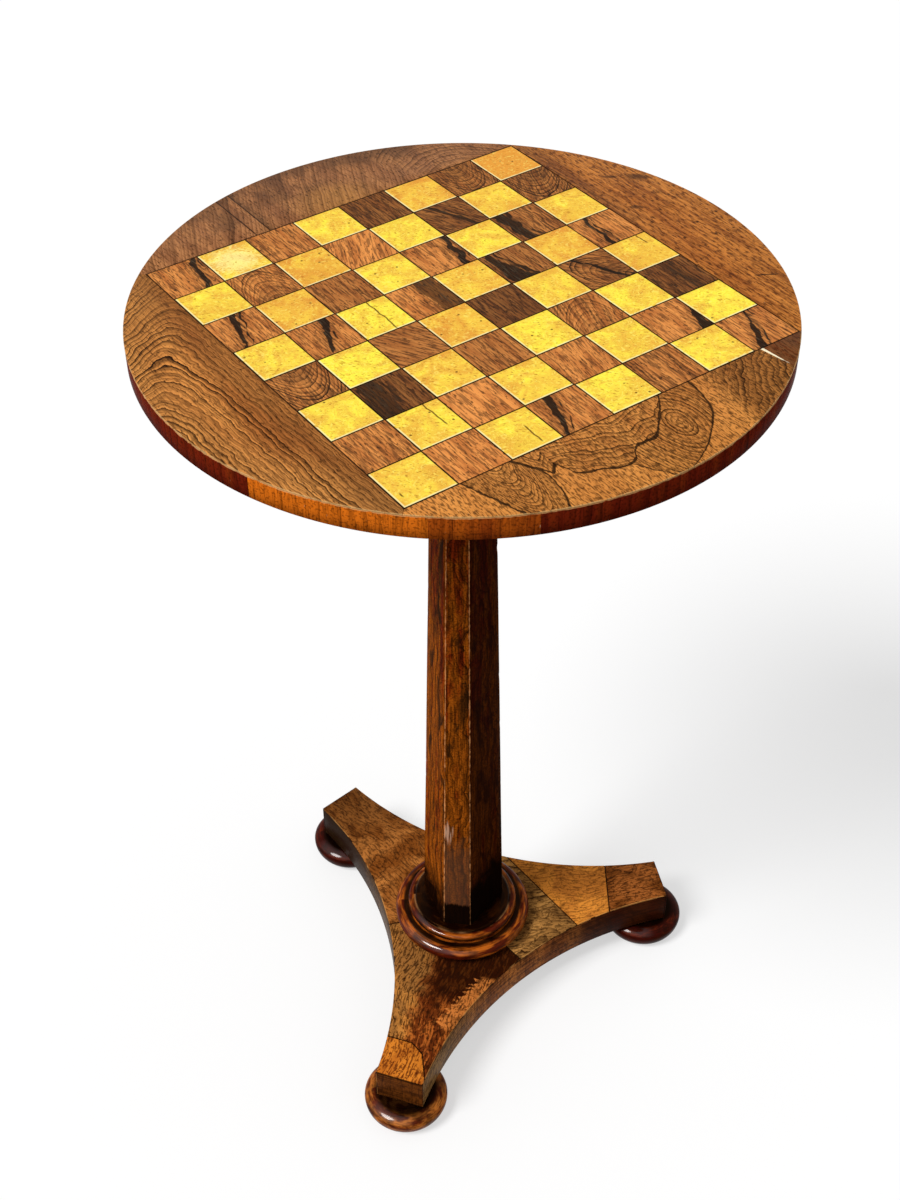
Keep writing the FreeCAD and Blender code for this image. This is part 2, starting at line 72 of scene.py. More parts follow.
class Signal:
    """A value that changes over a surface: a node's output, with arithmetic. Lengths are millimetres."""

    def __init__(self, graph: "Graph", socket: bpy.types.NodeSocket) -> None:
        """Wraps an output socket of a graph."""
        self.graph = graph
        self.socket = socket

    def math(self, operation: str, other: "Signal | float | None" = None) -> "Signal":
        """Gives the result of a Math node, which takes this value first."""
        return self.graph.signal("Math", {0: self, 1: other}, operation=operation)

    def __add__(self, other: "Signal | float") -> "Signal":
        """Adds a value."""
        return self.math("ADD", other)

    __radd__ = __add__

    def __sub__(self, other: "Signal | float") -> "Signal":
        """Takes a value away."""
        return self.math("SUBTRACT", other)

    def __rsub__(self, other: float) -> "Signal":
        """Is taken away from a number."""
        return self.graph.signal("Math", {0: other, 1: self}, operation="SUBTRACT")

    def __mul__(self, other: "Signal | float") -> "Signal":
        """Multiplies by a value."""
        return self.math("MULTIPLY", other)

    __rmul__ = __mul__

    def __truediv__(self, other: "Signal | float") -> "Signal":
        """Divides by a value."""
        return self.math("DIVIDE", other)

    def __pow__(self, other: "Signal | float") -> "Signal":
        """Raises to a power."""
        return self.math("POWER", other)

    def __abs__(self) -> "Signal":
        """Drops the sign."""
        return self.math("ABSOLUTE")

    def root(self) -> "Signal":
        """Gives the square root."""
        return self.math("SQRT")

    def lower(self, other: "Signal | float") -> "Signal":
        """Gives the smaller of two values."""
        return self.math("MINIMUM", other)

    def higher(self, other: "Signal | float") -> "Signal":
        """Gives the larger of two values."""
        return self.math("MAXIMUM", other)

    def step(self, low: "Signal | float", high: "Signal | float") -> "Signal":
        """Gives 0 before low and 1 past high, with a smooth step between. High may be the lower one."""
        inputs = {"Value": self, "From Min": low, "From Max": high}
        return self.graph.signal("MapRange", inputs, "Result", interpolation_type="SMOOTHSTEP")

    def tinted(self, share: "Signal | float", other: "Signal | str") -> "Signal":
        """Gives this colour with a share of another one laid over it."""
        return self.graph.mix(share, self, other)

    def parts(self) -> "tuple[Signal, Signal, Signal]":
        """Splits a vector into three values."""
        made = self.graph.node("ShaderNodeSeparateXYZ", {0: self})
        return tuple(Signal(self.graph, socket) for socket in made.outputs)

    def scaled(self, x: float, y: float, z: float) -> "Signal":
        """Stretches a vector by three numbers."""
        return self.graph.signal("VectorMath", {0: self, 1: (x, y, z)}, operation="MULTIPLY")

    def in_mm(self) -> "Signal":
        """Turns a place in metres into millimetres."""
        return self.scaled(1 / MM, 1 / MM, 1 / MM)

    def noise(self, scale: float = 1.0, detail: float = 2.0, distortion: float = 0.0) -> "Signal":
        """Gives cloudy noise between 0 and 1 at a place."""
        inputs = {"Vector": self, "Scale": scale, "Detail": detail, "Distortion": distortion}
        return self.graph.signal("TexNoise", inputs)

    def noise_along(self, scale: float) -> "Signal":
        """Gives noise that changes with this value only."""
        return self.graph.signal("TexNoise", {"W": self, "Scale": scale}, noise_dimensions="1D")

    def chance(self) -> "Signal":
        """Gives an unrelated number between 0 and 1 for each value."""
        return self.graph.signal("TexWhiteNoise", {"W": self}, "Value", noise_dimensions="1D")

    def cells(self, scale: float) -> "tuple[Signal, Signal]":
        """Scatters points round this place.

        Args:
            scale: Points for each millimetre.

        Returns:
            The distance to the nearest point, in cells, and that point's own random number.
        """
        made = self.graph.node("ShaderNodeTexVoronoi", {"Vector": self, "Scale": scale})
        distance, tint = [Signal(self.graph, made.outputs[label]) for label in ("Distance", "Color")]
        return distance, tint.parts()[0]

    def curve(self, points: Sequence[Pair]) -> "Signal":
        """Reads a smooth line through points that are given.

        Args:
            points: Place and height of each point, from the lowest place to the highest.

        Returns:
            The line's height.
        """
        start, width = points[0][0], points[-1][0] - points[0][0]
        heights = [point[1] for point in points]
        low, rise = min(heights), max(heights) - min(heights)
        made = self.graph.node("ShaderNodeFloatCurve", {"Value": (self - start) / width})
        line = made.mapping.curves[0].points
        for place, height in points[1:-1]:
            line.new((place - start) / width, (height - low) / rise)
        line[0].location = (0.0, (heights[0] - low) / rise)
        line[-1].location = (1.0, (heights[-1] - low) / rise)
        made.mapping.update()
        return Signal(self.graph, made.outputs[0]) * rise + low


Value = Signal | float
Paint = Signal | Colour | str


def joined(x: Signal, y: Value, z: Value = 0.0) -> Signal:
    """Joins three values into a vector."""
    return x.graph.signal("CombineXYZ", {0: x, 1: y, 2: z})


def turned(x: Signal, y: Signal, angle: float) -> tuple[Signal, Signal]:
    """Gives a point's coordinates on axes that are turned by an angle in radians."""
    cosine, sine = math.cos(angle), math.sin(angle)
    return x * cosine + y * sine, y * cosine - x * sine


class NodeWriter:
    """Adds nodes to one node tree."""

    def __init__(self, tree: bpy.types.NodeTree) -> None:
        """Works on a node tree."""
        self.tree = tree

    def feed(self, socket: bpy.types.NodeSocket, value: object) -> None:
        """Fills an input socket.

        Args:
            socket: The input.
            value: A signal, an output socket or a list of these to link, a plain value, a colour as hex
                digits, or None where the socket stays as it is.
        """
        if isinstance(value, list):
            for source in value:
                self.feed(socket, source)
        elif isinstance(value, Signal):
            self.tree.links.new(value.socket, socket)
        elif isinstance(value, bpy.types.NodeSocket):
            self.tree.links.new(value, socket)
        elif isinstance(value, str) and socket.type == "RGBA":
            socket.default_value = linear(value)
        elif value is not None:
            socket.default_value = value

    def node(self, kind: str, inputs: dict[str | int, object], **settings: object) -> bpy.types.Node:
        """Adds a node.

        Args:
            kind: The node's type.
            inputs: What fills each input, by its name or number.
            settings: Properties to set on the node.

        Returns:
            The new node.
        """
        made = self.tree.nodes.new(kind)
        for name, value in settings.items():
            setattr(made, name, value)
        for label, value in inputs.items():
            self.feed(made.inputs[label], value)
        return made


class Graph(NodeWriter):
    """Writes one shader node tree as formulas."""

    def signal(self, kind: str, inputs: dict[str | int, object], output: str | int = 0,
               **settings: object) -> Signal:
        """Adds a shader node, whose type is given without the word ShaderNode, and gives one output."""
        return Signal(self, self.node("ShaderNode" + kind, inputs, **settings).outputs[output])

    def mix(self, share: Value, first: Paint, second: Paint) -> Signal:
        """Blends two colours: share 0 is the first and 1 the second."""
        return self.signal("Mix", {0: share, 6: first, 7: second}, 2, data_type="RGBA")

    def value_of(self, name: str) -> Signal:
        """Reads a number that the mesh carries."""
        return self.signal("Attribute", {}, "Fac", attribute_name=name)

    def vector_of(self, name: str) -> Signal:
        """Reads a vector that the mesh carries."""
        return self.signal("Attribute", {}, "Vector", attribute_name=name)

    def place(self) -> Signal:
        """Gives the point of the surface in the table's own axes, in millimetres."""
        return self.signal("TexCoord", {}, "Object").in_mm()


class Effect:
    """A surface effect that several finishes share, kept as one shader node group."""

    def __init__(self, name: str, inputs: dict[str, object], output: str,
                 formula: Callable[..., Signal]) -> None:
        """Builds the group.

        Args:
            name: The group's name.
            inputs: The default of each input: a number, or three for a vector.
            output: The name of the one value that the group gives.
            formula: Takes the inputs by name, and gives that value.
        """
        self.tree = bpy.data.node_groups.new(name, "ShaderNodeTree")
        for label, default in inputs.items():
            kind = "NodeSocketVector" if isinstance(default, tuple) else "NodeSocketFloat"
            made = self.tree.interface.new_socket(label, in_out="INPUT", socket_type=kind)
            made.default_value = default
        self.tree.interface.new_socket(output, in_out="OUTPUT", socket_type="NodeSocketFloat")
        graph = Graph(self.tree)
        source = graph.node("NodeGroupInput", {}).outputs
        values = {label: Signal(graph, source[label]) for label in inputs}
        graph.node("NodeGroupOutput", {output: formula(**values)})

    def __call__(self, main: Signal, **values: Value) -> Signal:
        """Places the effect after a signal, which fills its first input. The other inputs go by name."""
        return main.graph.signal("Group", {0: main, **values}, node_tree=self.tree)


def ring_formula(course: Signal, spacing: Signal, sharpness: Signal, unevenness: Signal) -> Signal:
    """Dark growth lines: each rises softly on one side and stops short on the other.

    Args:
        course: Distance across the growth lines, in millimetres.
        spacing: Distance from one line to the next.
        sharpness: How thin the lines are.
        unevenness: How much the spacing changes.

    Returns:
        The strength of the lines, from 0 to 1.
    """
    phase = course / spacing
    phase = phase + (phase.noise_along(0.43) - 0.5) * unevenness
    whole = phase.math("FLOOR")
    weight = whole.chance() * 0.55 + 0.45
    return (phase - whole) ** sharpness * weight


def fibre_formula(vector: Signal, width: Signal, length: Signal) -> Signal:
    """Soft streaks along the grain, which runs along the vector's second part."""
    x, y, z = vector.parts()
    return joined(x / width, y / length, z).noise(1.0, 3.0)


def pore_formula(vector: Signal, width: Signal, length: Signal, cover: Signal) -> Signal:
    """Short dark dashes along the grain. A cover of 0.5 leaves about a tenth of the surface dark.

    Args:
        vector: Where it is read, in millimetres.
        width: Size across the grain, in millimetres.
        length: Size along the grain.
        cover: How much is dark.

    Returns:
        One in the dashes and 0 between them.
    """
    x, y, z = vector.parts()
    dashes = joined(x / width, y / length, z).noise(1.0, 1.5)
    limit = 0.92 - cover * 0.5
    return dashes.step(limit - 0.07, limit + 0.04)


def wear_formula(vector: Signal, edge: Signal, reach: Signal) -> Signal:
    """Ragged rubbing that fades with the distance from an arris."""
    ragged = vector.noise(0.22, 4.0)
    return (reach * (ragged * 3.2 - 0.9) - edge).step(-0.15, 0.35)


def polish_formula(vector: Signal, gloss: Signal) -> Signal:
    """Roughness of a rubbed polish, with duller smears and fine dust.

    Args:
        vector: Where it is read, in millimetres.
        gloss: The middle roughness.

    Returns:
        The roughness.
    """
    smears = vector.noise(0.02, 4.0, 0.6)
    dust = vector.noise(0.9, 2.0)
    return gloss + (smears - 0.5) * 0.22 + (dust - 0.5) * 0.10


ORIGIN = (0.0, 0.0, 0.0)
RINGS = Effect("growth_lines", {"course": 0.0, "spacing": 5.0, "sharpness": 4.0, "unevenness": 1.2},
               "lines", ring_formula)
FIBRES = Effect("wood_fibres", {"vector": ORIGIN, "width": 0.8, "length": 25.0}, "fibres", fibre_formula)
PORES = Effect("wood_pores", {"vector": ORIGIN, "width": 0.8, "length": 4.0, "cover": 0.5},
               "pores", pore_formula)
WEAR = Effect("arris_wear", {"vector": ORIGIN, "edge": 0.0, "reach": 1.0}, "wear", wear_formula)
POLISH = Effect("rubbed_polish", {"vector": ORIGIN, "gloss": 0.35}, "roughness", polish_formula)


@dataclass(frozen=True)
class BoardPlan:
    """Where the inlaid board lies in the round top, in millimetres and radians."""

    squares: int = 8
    side: float = 39.75
    turn: float = math.radians(36.2)
    shift_x: float = 2.2
    shift_y: float = 1.4

    @property
    def half(self) -> float:
        """Half of the board's side."""
        return self.squares * self.side / 2

    def centre(self, column: int, rank: int) -> Pair:
        """Gives the middle of a square in the table's axes.

        Args:
            column: From 0, along the near right side of the board.
            rank: From 0, along the near left side of the board.

        Returns:
            The two coordinates in millimetres.
        """
        u = (column + 0.5) * self.side - self.half
        v = (rank + 0.5) * self.side - self.half
        cosine, sine = math.cos(self.turn), math.sin(self.turn)
        return self.shift_x + u * cosine - v * sine, self.shift_y + u * sine + v * cosine

    def coordinates(self, graph: Graph) -> tuple[Signal, Signal, Signal]:
        """Gives the surface's place on the board's axes.

        Args:
            graph: The material's graph.

        Returns:
            The distance along the near right side, along the near left side, and from the table's axis.
        """
        x, y, z = graph.place().parts()
        u, v = turned(x - self.shift_x, y - self.shift_y, self.turn)
        return u, v, (x * x + y * y).root()


PLAN = BoardPlan()
TOP_RADIUS = max(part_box("edge_band_%d" % number)[1].x for number in (2, 3)) / MM


class Arm(Enum):
    """The three arms of the base, each with the direction that it points in, in degrees."""

    NEAR = -107.6
    RIGHT = 12.4
    LEFT = 132.4

    @property
    def turn(self) -> float:
        """The direction in radians."""
        return math.radians(self.value)

    @property
    def label(self) -> str:
        """The arm's word in the names of pieces."""
        return self.name.lower()


class Square(Enum):
    """The two kinds of square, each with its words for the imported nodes, the new pieces and the slot."""

    LIGHT = ("light", "pale", "pale_squares")
    DARK = ("dark", "dark", "rosewood_squares")

    def __init__(self, node: str, label: str, slot: str) -> None:
        """Keeps the three words."""
        self.node, self.label, self.slot = node, label, slot


@dataclass
class Surface:
    """What a finish paints: colour, relief in millimetres, the polish's place, and a mask for the coat."""

    colour: Signal
    relief: Signal
    vector: Signal
    coated: Signal | None = None


@dataclass(frozen=True)
class Finish:
    """A surface finish: its name and the constants of its shader."""

    name: str
    gloss: float = 0.36
    specular: float = 0.012
    sheen: str = "ff9a50"
    coat: float = 0.0
    coat_roughness: float = 0.12
    metallic: float = 0.0

    def paint(self, graph: Graph) -> Surface:
        """Gives the finish's pattern. Each kind of finish has its own."""
        raise NotImplementedError

    def material(self) -> bpy.types.Material:
        """Gives the finish's material, which is built the first time that it is asked for.

        Returns:
            The material.
        """
        made = bpy.data.materials.get(self.name)
        if made:
            return made
        made = bpy.data.materials.new(self.name)
        made.use_nodes = True
        made.node_tree.nodes.clear()
        graph = Graph(made.node_tree)
        surface = self.paint(graph)
        shader = graph.signal("BsdfPrincipled", {
            "Base Color": surface.colour,
            "Roughness": POLISH(surface.vector, gloss=self.gloss),
            "Normal": graph.signal("Bump", {"Distance": MM, "Height": surface.relief}),
            "Metallic": self.metallic,
            "Specular IOR Level": self.specular,
            "Specular Tint": self.sheen,
            "Coat Weight": self.coat if surface.coated is None else surface.coated * self.coat,
            "Coat Roughness": self.coat_roughness})
        graph.node("ShaderNodeOutputMaterial", {"Surface": shader})
        return made


def square_grain(graph: Graph) -> tuple[Signal, Signal, Signal]:
    """Gives the coordinates that one inlaid square's figure is drawn on.

    Args:
        graph: The material's graph.

    Returns:
        The place across the grain, the place along it, and the distance from the square's edge.
    """
    x, y, z = graph.vector_of("place").in_mm().parts()
    lean = graph.value_of("lean")
    cosine, sine = lean.math("COSINE"), lean.math("SINE")
    edge = PLAN.side / 2 - abs(x).higher(abs(y))
    return x * cosine + y * sine, y * cosine - x * sine, edge


@dataclass(frozen=True)
class PaleFinish(Finish):
    """Golden, pin-knotted wood of the light squares. Each carries its warmth, the strength of a painted
    glare and its crack.
    """

    lemon: str = "fdf04a"
    gold: str = "f4c848"
    orange: str = "e69e3e"
    amber: str = "ab6a1c"
    knot: str = "54300f"

    def paint(self, graph: Graph) -> Surface:
        """Clouds from lemon to orange, burr curls, pin knots, a crack, a painted glare and a painted
        highlight on the near arrises.

        Args:
            graph: The material's graph.

        Returns:
            What was painted.
        """
        x, y, edge = square_grain(graph)
        seed = graph.value_of("seed")
        grain = joined(x, y, seed * 90)
        cloud = grain.noise(0.05, 3.0, 0.8)
        heat = graph.value_of("warmth") + (cloud - 0.5) * 1.8
        colour = graph.mix(heat.step(-0.1, 0.55), self.lemon, self.gold)
        colour = colour.tinted(heat.step(0.4, 1.1), self.orange)
        burr = grain.noise(0.22, 3.0, 2.4)
        colour = colour.tinted(burr.step(0.50, 0.68) * 0.45, self.orange)
        colour = colour.tinted(burr.step(0.46, 0.32) * 0.4, "fff27c")
        curls = abs(burr - 0.5).step(0.030, 0.006) * cloud.step(0.45, 0.58)
        slanted = joined(x * 0.8 + y * 0.6, y * 0.8 - x * 0.6, seed * 50)
        flecks = PORES(slanted, width=1.2, length=3.0, cover=0.52)
        colour = colour.tinted((curls * 0.5).higher(flecks * 0.65), self.amber)
        distance, tint = grain.cells(0.13)
        knots = distance.step(0.14, 0.08) * tint.step(0.66, 0.70)
        colour = colour.tinted(knots * 0.8, self.knot)
        wander = (joined(seed * 30, y * 0.08).noise(1.0, 2.0) - 0.5) * 4
        low, high = graph.value_of("crack_low"), graph.value_of("crack_high")
        inside = (y - low).step(0.0, 3.0) * (high - y).step(0.0, 3.0)
        crack = abs(x + wander - graph.value_of("crack_at")).step(0.8, 0.3) * inside
        colour = colour.tinted(crack * 0.85, self.knot)
        # Painted glare: a pale spot on one square that stands in for a highlight.
        from_middle = (x * x + y * y).root() + (burr - 0.5) * 34
        painted_glare = graph.value_of("bleach") * from_middle.step(24.0, 6.0) * (1 - flecks * 0.6)
        colour = colour.tinted(painted_glare, "fff8a8")
        # Painted highlight: a pale line along the near arrises of each light square.
        near = x.lower(y) + PLAN.side / 2
        bright = near.step(2.0, 1.4) * grain.noise(0.25).step(0.28, 0.46)
        colour = colour.tinted(bright * 0.75, "fdf0b4")
        colour = colour.tinted(edge.step(0.85, 0.45), "150a05")
        return Surface(colour, cloud * 0.05 - knots * 0.06 - crack * 0.1, grain)


@dataclass(frozen=True)
class DarkFinish(Finish):
    """Streaked rosewood of the dark squares. Each square carries its own figure."""

    warm: str = "ee9a50"
    brown: str = "c8783c"
    deep: str = "482c1c"
    black: str = "1a1410"

    def paint(self, graph: Graph) -> Surface:
        """Fibres, growth lines, arches, one black streak with its strands, and dark dashes.

        Args:
            graph: The material's graph.

        Returns:
            What was painted.
        """
        x, y, edge = square_grain(graph)
        seed = graph.value_of("seed")
        tone = graph.value_of("tone")
        grain = joined(x, y, seed * 90)
        broad = FIBRES(grain, width=5.0, length=34.0)
        fine = FIBRES(grain, width=1.3, length=12.0)
        colour = graph.mix(broad.step(0.36, 0.66), self.warm, self.brown)
        colour = colour.tinted(tone, self.deep)
        colour = colour.tinted(fine.step(0.46, 0.60) * (tone * 0.3 + 0.62), self.deep)
        course = x + (grain.noise(0.05, 3.0) - 0.5) * 11
        lines = RINGS(course, spacing=3.0, sharpness=1.8, unevenness=1.6)
        streak, halo = self.streak(graph, seed)
        strength = (graph.value_of("lines") + halo * 0.6).lower(1.0)
        colour = colour.tinted(lines * strength, self.black)
        arch_course = y + x * x / 15 + (grain.noise(0.08, 3.0) - 0.5) * 8 + (seed - 0.5) * 6
        arch = RINGS(arch_course, spacing=5.2, sharpness=2.0, unevenness=1.5)
        strength = graph.value_of("arch")
        colour = colour.tinted(arch_course.step(1.0, -5.0) * strength * 0.35, self.deep)
        colour = colour.tinted((arch * strength * 1.3).lower(1.0), self.black)
        colour = colour.tinted(halo * 0.3, self.deep)
        inside = graph.mix(fine.step(0.5, 0.72), self.black, "493d2e")
        colour = colour.tinted(streak, inside)
        pores = PORES(grain, width=1.1, length=4.0, cover=0.54)
        colour = colour.tinted(pores * 0.7, self.black)
        colour = colour.tinted(edge.step(0.6, 0.3) * 0.9, "140c07")
        return Surface(colour, fine * 0.04 - pores * 0.06, grain)

    def streak(self, graph: Graph, seed: Signal) -> tuple[Signal, Signal]:
        """Draws a ragged streak across the square, a thin strand beside it and the stain round them.

        Args:
            graph: The material's graph.
            seed: The square's own random number.

        Returns:
            The strength of the streak, and that of the stain.
        """
        x, y, z = graph.vector_of("place").in_mm().parts()
        share = y / PLAN.side + 0.5
        top, bottom = graph.value_of("streak_top"), graph.value_of("streak_bottom")
        top_width, bottom_width = graph.value_of("width_top"), graph.value_of("width_bottom")
        spot = joined(x, y * 0.4, seed * 40)
        ragged = (spot.noise(0.26, 3.0) - 0.5) * 6.5
        bow = (joined(seed * 40, y * 0.05).noise(1.0, 1.0) - 0.5) * 9
        half = (bottom_width + (top_width - bottom_width) * share) / 2
        centre = x - bottom - (top - bottom) * share + bow
        away = abs(centre) - half + ragged
        aside = abs(centre - half - 3.2 + bow * 0.4) - half * 0.3 + ragged * 0.5
        strand = aside.step(0.4, -0.3) * spot.noise(0.10).step(0.44, 0.54)
        strength = graph.value_of("ink")
        dark = away.step(0.4, -0.4).higher(strand * half.step(0.0, 0.8))
        return dark * strength, away.step(7.0, 0.0) * strength


@dataclass(frozen=True)
class BorderFinish(Finish):
    """Figured rosewood of the border. Its grain runs along the near left side of the board."""

    warm: str = "dc9149"
    brown: str = "b36d31"
    golden: str = "e09c52"
    shade: str = "4e2b14"
    ink: str = "231208"
    glow: float = 0.5
    filler_place: float = 124.6
    filler_lean: float = 0.14
    filler_length: float = 25.0
    dashes: float = 0.56

    def paint(self, graph: Graph) -> Surface:
        """The side's own figure, then dashes, rubbing along the rim and a dark joint beside the board.

        Args:
            graph: The material's graph.

        Returns:
            What was painted.
        """
        u, v, radius = PLAN.coordinates(graph)
        place = graph.place()
        grain = joined(u, v)
        broad = FIBRES(grain, width=16.0, length=90.0)
        colour = graph.mix(broad.step(0.3, 0.7), self.warm, self.brown)
        rim = TOP_RADIUS - radius
        colour = colour.tinted(rim.step(42.0, 4.0) * self.glow, self.golden)
        fine = FIBRES(grain, width=1.4, length=14.0)
        colour = colour.tinted(fine.step(0.46, 0.68) * 0.55, self.shade)
        colour, lines = self.figure(u, v, colour)
        pores = PORES(grain, width=1.2, length=4.5, cover=self.dashes)
        colour = colour.tinted(pores * 0.65, self.ink)
        wear = WEAR(place, edge=rim, reach=0.55)
        colour = colour.tinted(wear * 0.6, "d9ae74")
        colour = colour.tinted(self.filler(u, v) * 0.95, "f3e6c4")
        beside = abs(u).higher(abs(v)) - PLAN.half
        colour = colour.tinted(beside.step(1.0, 0.3) * 0.85, "170c06")
        return Surface(colour, fine * 0.03 - lines * 0.05 - pores * 0.05, place)

    def figure(self, u: Signal, v: Signal, colour: Signal) -> tuple[Signal, Signal]:
        """Gives the colour with the side's figure on it, and the lines of that figure."""
        raise NotImplementedError

    def filler(self, u: Signal, v: Signal) -> Signal:
        """Draws the pale filling in the open end of the seam near the right corner, which tapers.

        Args:
            u: Place along the near right side, in millimetres.
            v: Place along the near left side.

        Returns:
            One in the filling and 0 beside it.
        """
        depth = -PLAN.half - v
        ragged = (joined(u * 0.3, v).noise(0.4) - 0.5) * 0.8
        half_width = (1 - depth / self.filler_length) * 1.25 + ragged
        away = abs(u - self.filler_place - depth * self.filler_lean) - half_width
        ends = depth.step(-0.5, 0.5) * depth.step(self.filler_length, 20.0)
        return away.step(0.25, -0.25) * ends

    def ripple(self, u: Signal, v: Signal) -> Signal:
        """Gives the slow and quick wandering of the growth lines, in millimetres.

        Args:
            u: Place along the near right side, in millimetres.
            v: Place along the near left side.

        Returns:
            The distance that a line is moved.
        """
        flat = joined(u, v)
        slow = (flat.noise(0.022, 2.0) - 0.5) * 26
        quick = (flat.noise(0.066, 3.0) - 0.5) * 17
        return slow + quick


@dataclass(frozen=True)
class ArchedBorder(BorderFinish):
    """Near left side: nested arches that spring from the rim and run down beside the board."""

    apex: Pair = (-209.5, 57.0)
    climb: float = math.radians(60)
    roundness: float = 12.0

    def figure(self, u: Signal, v: Signal, colour: Signal) -> tuple[Signal, Signal]:
        """Every arch is the same curve, moved along one slanting line.

        Args:
            u: Place along the near right side, in millimetres.
            v: Place along the near left side.
            colour: The colour so far.

        Returns:
            The colour with the figure on it, and the figure's lines.
        """
        along, across = turned(u - self.apex[0], v - self.apex[1], self.climb)
        aside = -8 - across
        bend = (aside * aside + self.roundness * self.roundness).root()
        course = along + bend * 1.8 - aside * 0.2 + self.ripple(u, v) * 0.75
        bold = RINGS(course, spacing=8.0, sharpness=2.0, unevenness=1.2)
        fine = RINGS(course, spacing=3.4, sharpness=1.5, unevenness=1.6)
        shade = u.step(-196.0, -166.0)
        colour = colour.tinted(shade * 0.40, "6e4626")
        colour = colour.tinted(fine * 0.85, self.shade)
        return colour.tinted((bold * (1.3 - shade * 0.5)).lower(1.0), self.ink), bold


@dataclass(frozen=True)
class StraightBorder(BorderFinish):
    """Far right side and the right corner: plain grain, streaked beside the board, with dark smears."""

    smears: tuple[tuple[float, float, float], ...] = (
        (207.0, 64.0, 9.0), (177.0, 30.0, 5.0), (191.0, 75.0, 3.5))
    scratch: Pair = (190.0, -94.5)
    russet: str = "6e3312"

    def figure(self, u: Signal, v: Signal, colour: Signal) -> tuple[Signal, Signal]:
        """Streaks along the board, dashes and dots of open grain, three smears and a scratch.

        Args:
            u: Place along the near right side, in millimetres.
            v: Place along the near left side.
            colour: The colour so far.

        Returns:
            The colour with the figure on it, and the figure's lines.
        """
        flat = joined(u, v)
        streaks = FIBRES(flat, width=2.6, length=70.0)
        colour = colour.tinted(streaks.step(0.46, 0.62) * 0.55, self.russet)
        course = u + v * 0.06 + self.ripple(u * 0.3, v * 0.15) * 0.4
        lines = RINGS(course, spacing=4.4, sharpness=2.2, unevenness=1.8)
        near = (u - PLAN.half).step(22.0, 4.0) * v.step(-40.0, 60.0)
        colour = colour.tinted(near * 0.4, "6d4526")
        colour = colour.tinted(lines * (near * 0.5 + 0.32), self.ink)
        dashes = PORES(flat, width=1.7, length=7.0, cover=0.66)
        colour = colour.tinted(dashes * 0.7, "431b08")
        ragged = (flat.noise(0.11, 3.0) - 0.5) * 16
        for place_u, place_v, size in self.smears:
            along, across = turned(u - place_u, v - place_v, math.radians(-38))
            reach = (along * along * 0.35 + across * across * 2.2).root() + ragged * 0.5
            colour = colour.tinted(reach.step(size, size * 0.3) * 0.75, "3d2210")
        along, across = turned(u - self.scratch[0], v - self.scratch[1], math.radians(-30))
        scratched = abs(across + ragged * 0.04).step(1.0, 0.4) * abs(along).step(10.0, 7.0)
        colour = colour.tinted(scratched * 0.8, self.ink)
        distance, tint = joined(u, v * 0.7).cells(0.19)
        dots = distance.step(0.26, 0.12) * tint.step(0.48, 0.53)
        dots = dots * abs(v + 10).step(95.0, 20.0)
        return colour.tinted(dots * 0.85, self.ink), lines


@dataclass(frozen=True)
class LeaningBorder(BorderFinish):
    """Far left side: grain that leans across the border, two seams, clouds, and arches at the far end."""

    seams: tuple[float, ...] = (-69.4, -58.0)

    def figure(self, u: Signal, v: Signal, colour: Signal) -> tuple[Signal, Signal]:
        """Leaning lines that turn into arches, with a dark and a golden cloud.

        Args:
            u: Place along the near right side, in millimetres.
            v: Place along the near left side.
            colour: The colour so far.

        Returns:
            The colour with the figure on it, and the figure's lines.
        """
        across, along = turned(u, v, math.radians(-25))
        course = across + self.ripple(u * 0.7, v * 0.35) * 0.35
        lines = RINGS(course, spacing=2.9, sharpness=1.5, unevenness=1.9)
        bold = RINGS(course, spacing=21.0, sharpness=9.0, unevenness=1.9)
        arch_course = v + (u - 100) * (u - 100) / 76 + self.ripple(u, v) * 0.5
        arches = RINGS(arch_course, spacing=5.0, sharpness=2.0, unevenness=1.6)
        far = (u + (v - 195) * 0.5).step(50.0, 72.0)
        cloud = joined(u, v).noise(0.020, 3.0)
        dark = (cloud + (v - 195) * 0.006).step(0.46, 0.66)
        colour = colour.tinted(dark * 0.6, "4c3424")
        golden = ((u - 4) * (u - 4) * 0.4 + (v - 172) * (v - 172)).root().step(30.0, 6.0)
        colour = colour.tinted(golden * 0.5, "b7803f")
        colour = colour.tinted(lines * (1 - far) * 0.75, self.shade)
        colour = colour.tinted(bold * (1 - far) * 0.7, self.ink)
        colour = colour.tinted(arches * far * 0.95, self.ink)
        past = u - self.seams[1]
        stain = past.step(9.0, 0.0) * past.step(-0.2, 0.2)
        colour = colour.tinted(stain * 0.5, "3a2a1e")
        for seam in self.seams:
            colour = colour.tinted(abs(u - seam).step(0.8, 0.35) * 0.85, self.ink)
        return colour, lines


@dataclass
class IslandEdges:
    """How far the surface lies past each edge between the near right border's regions, in millimetres."""

    nest_left: Signal
    nest_right: Signal
    cleft: Signal
    island: Signal
    eye_left: Signal
    eye_right: Signal


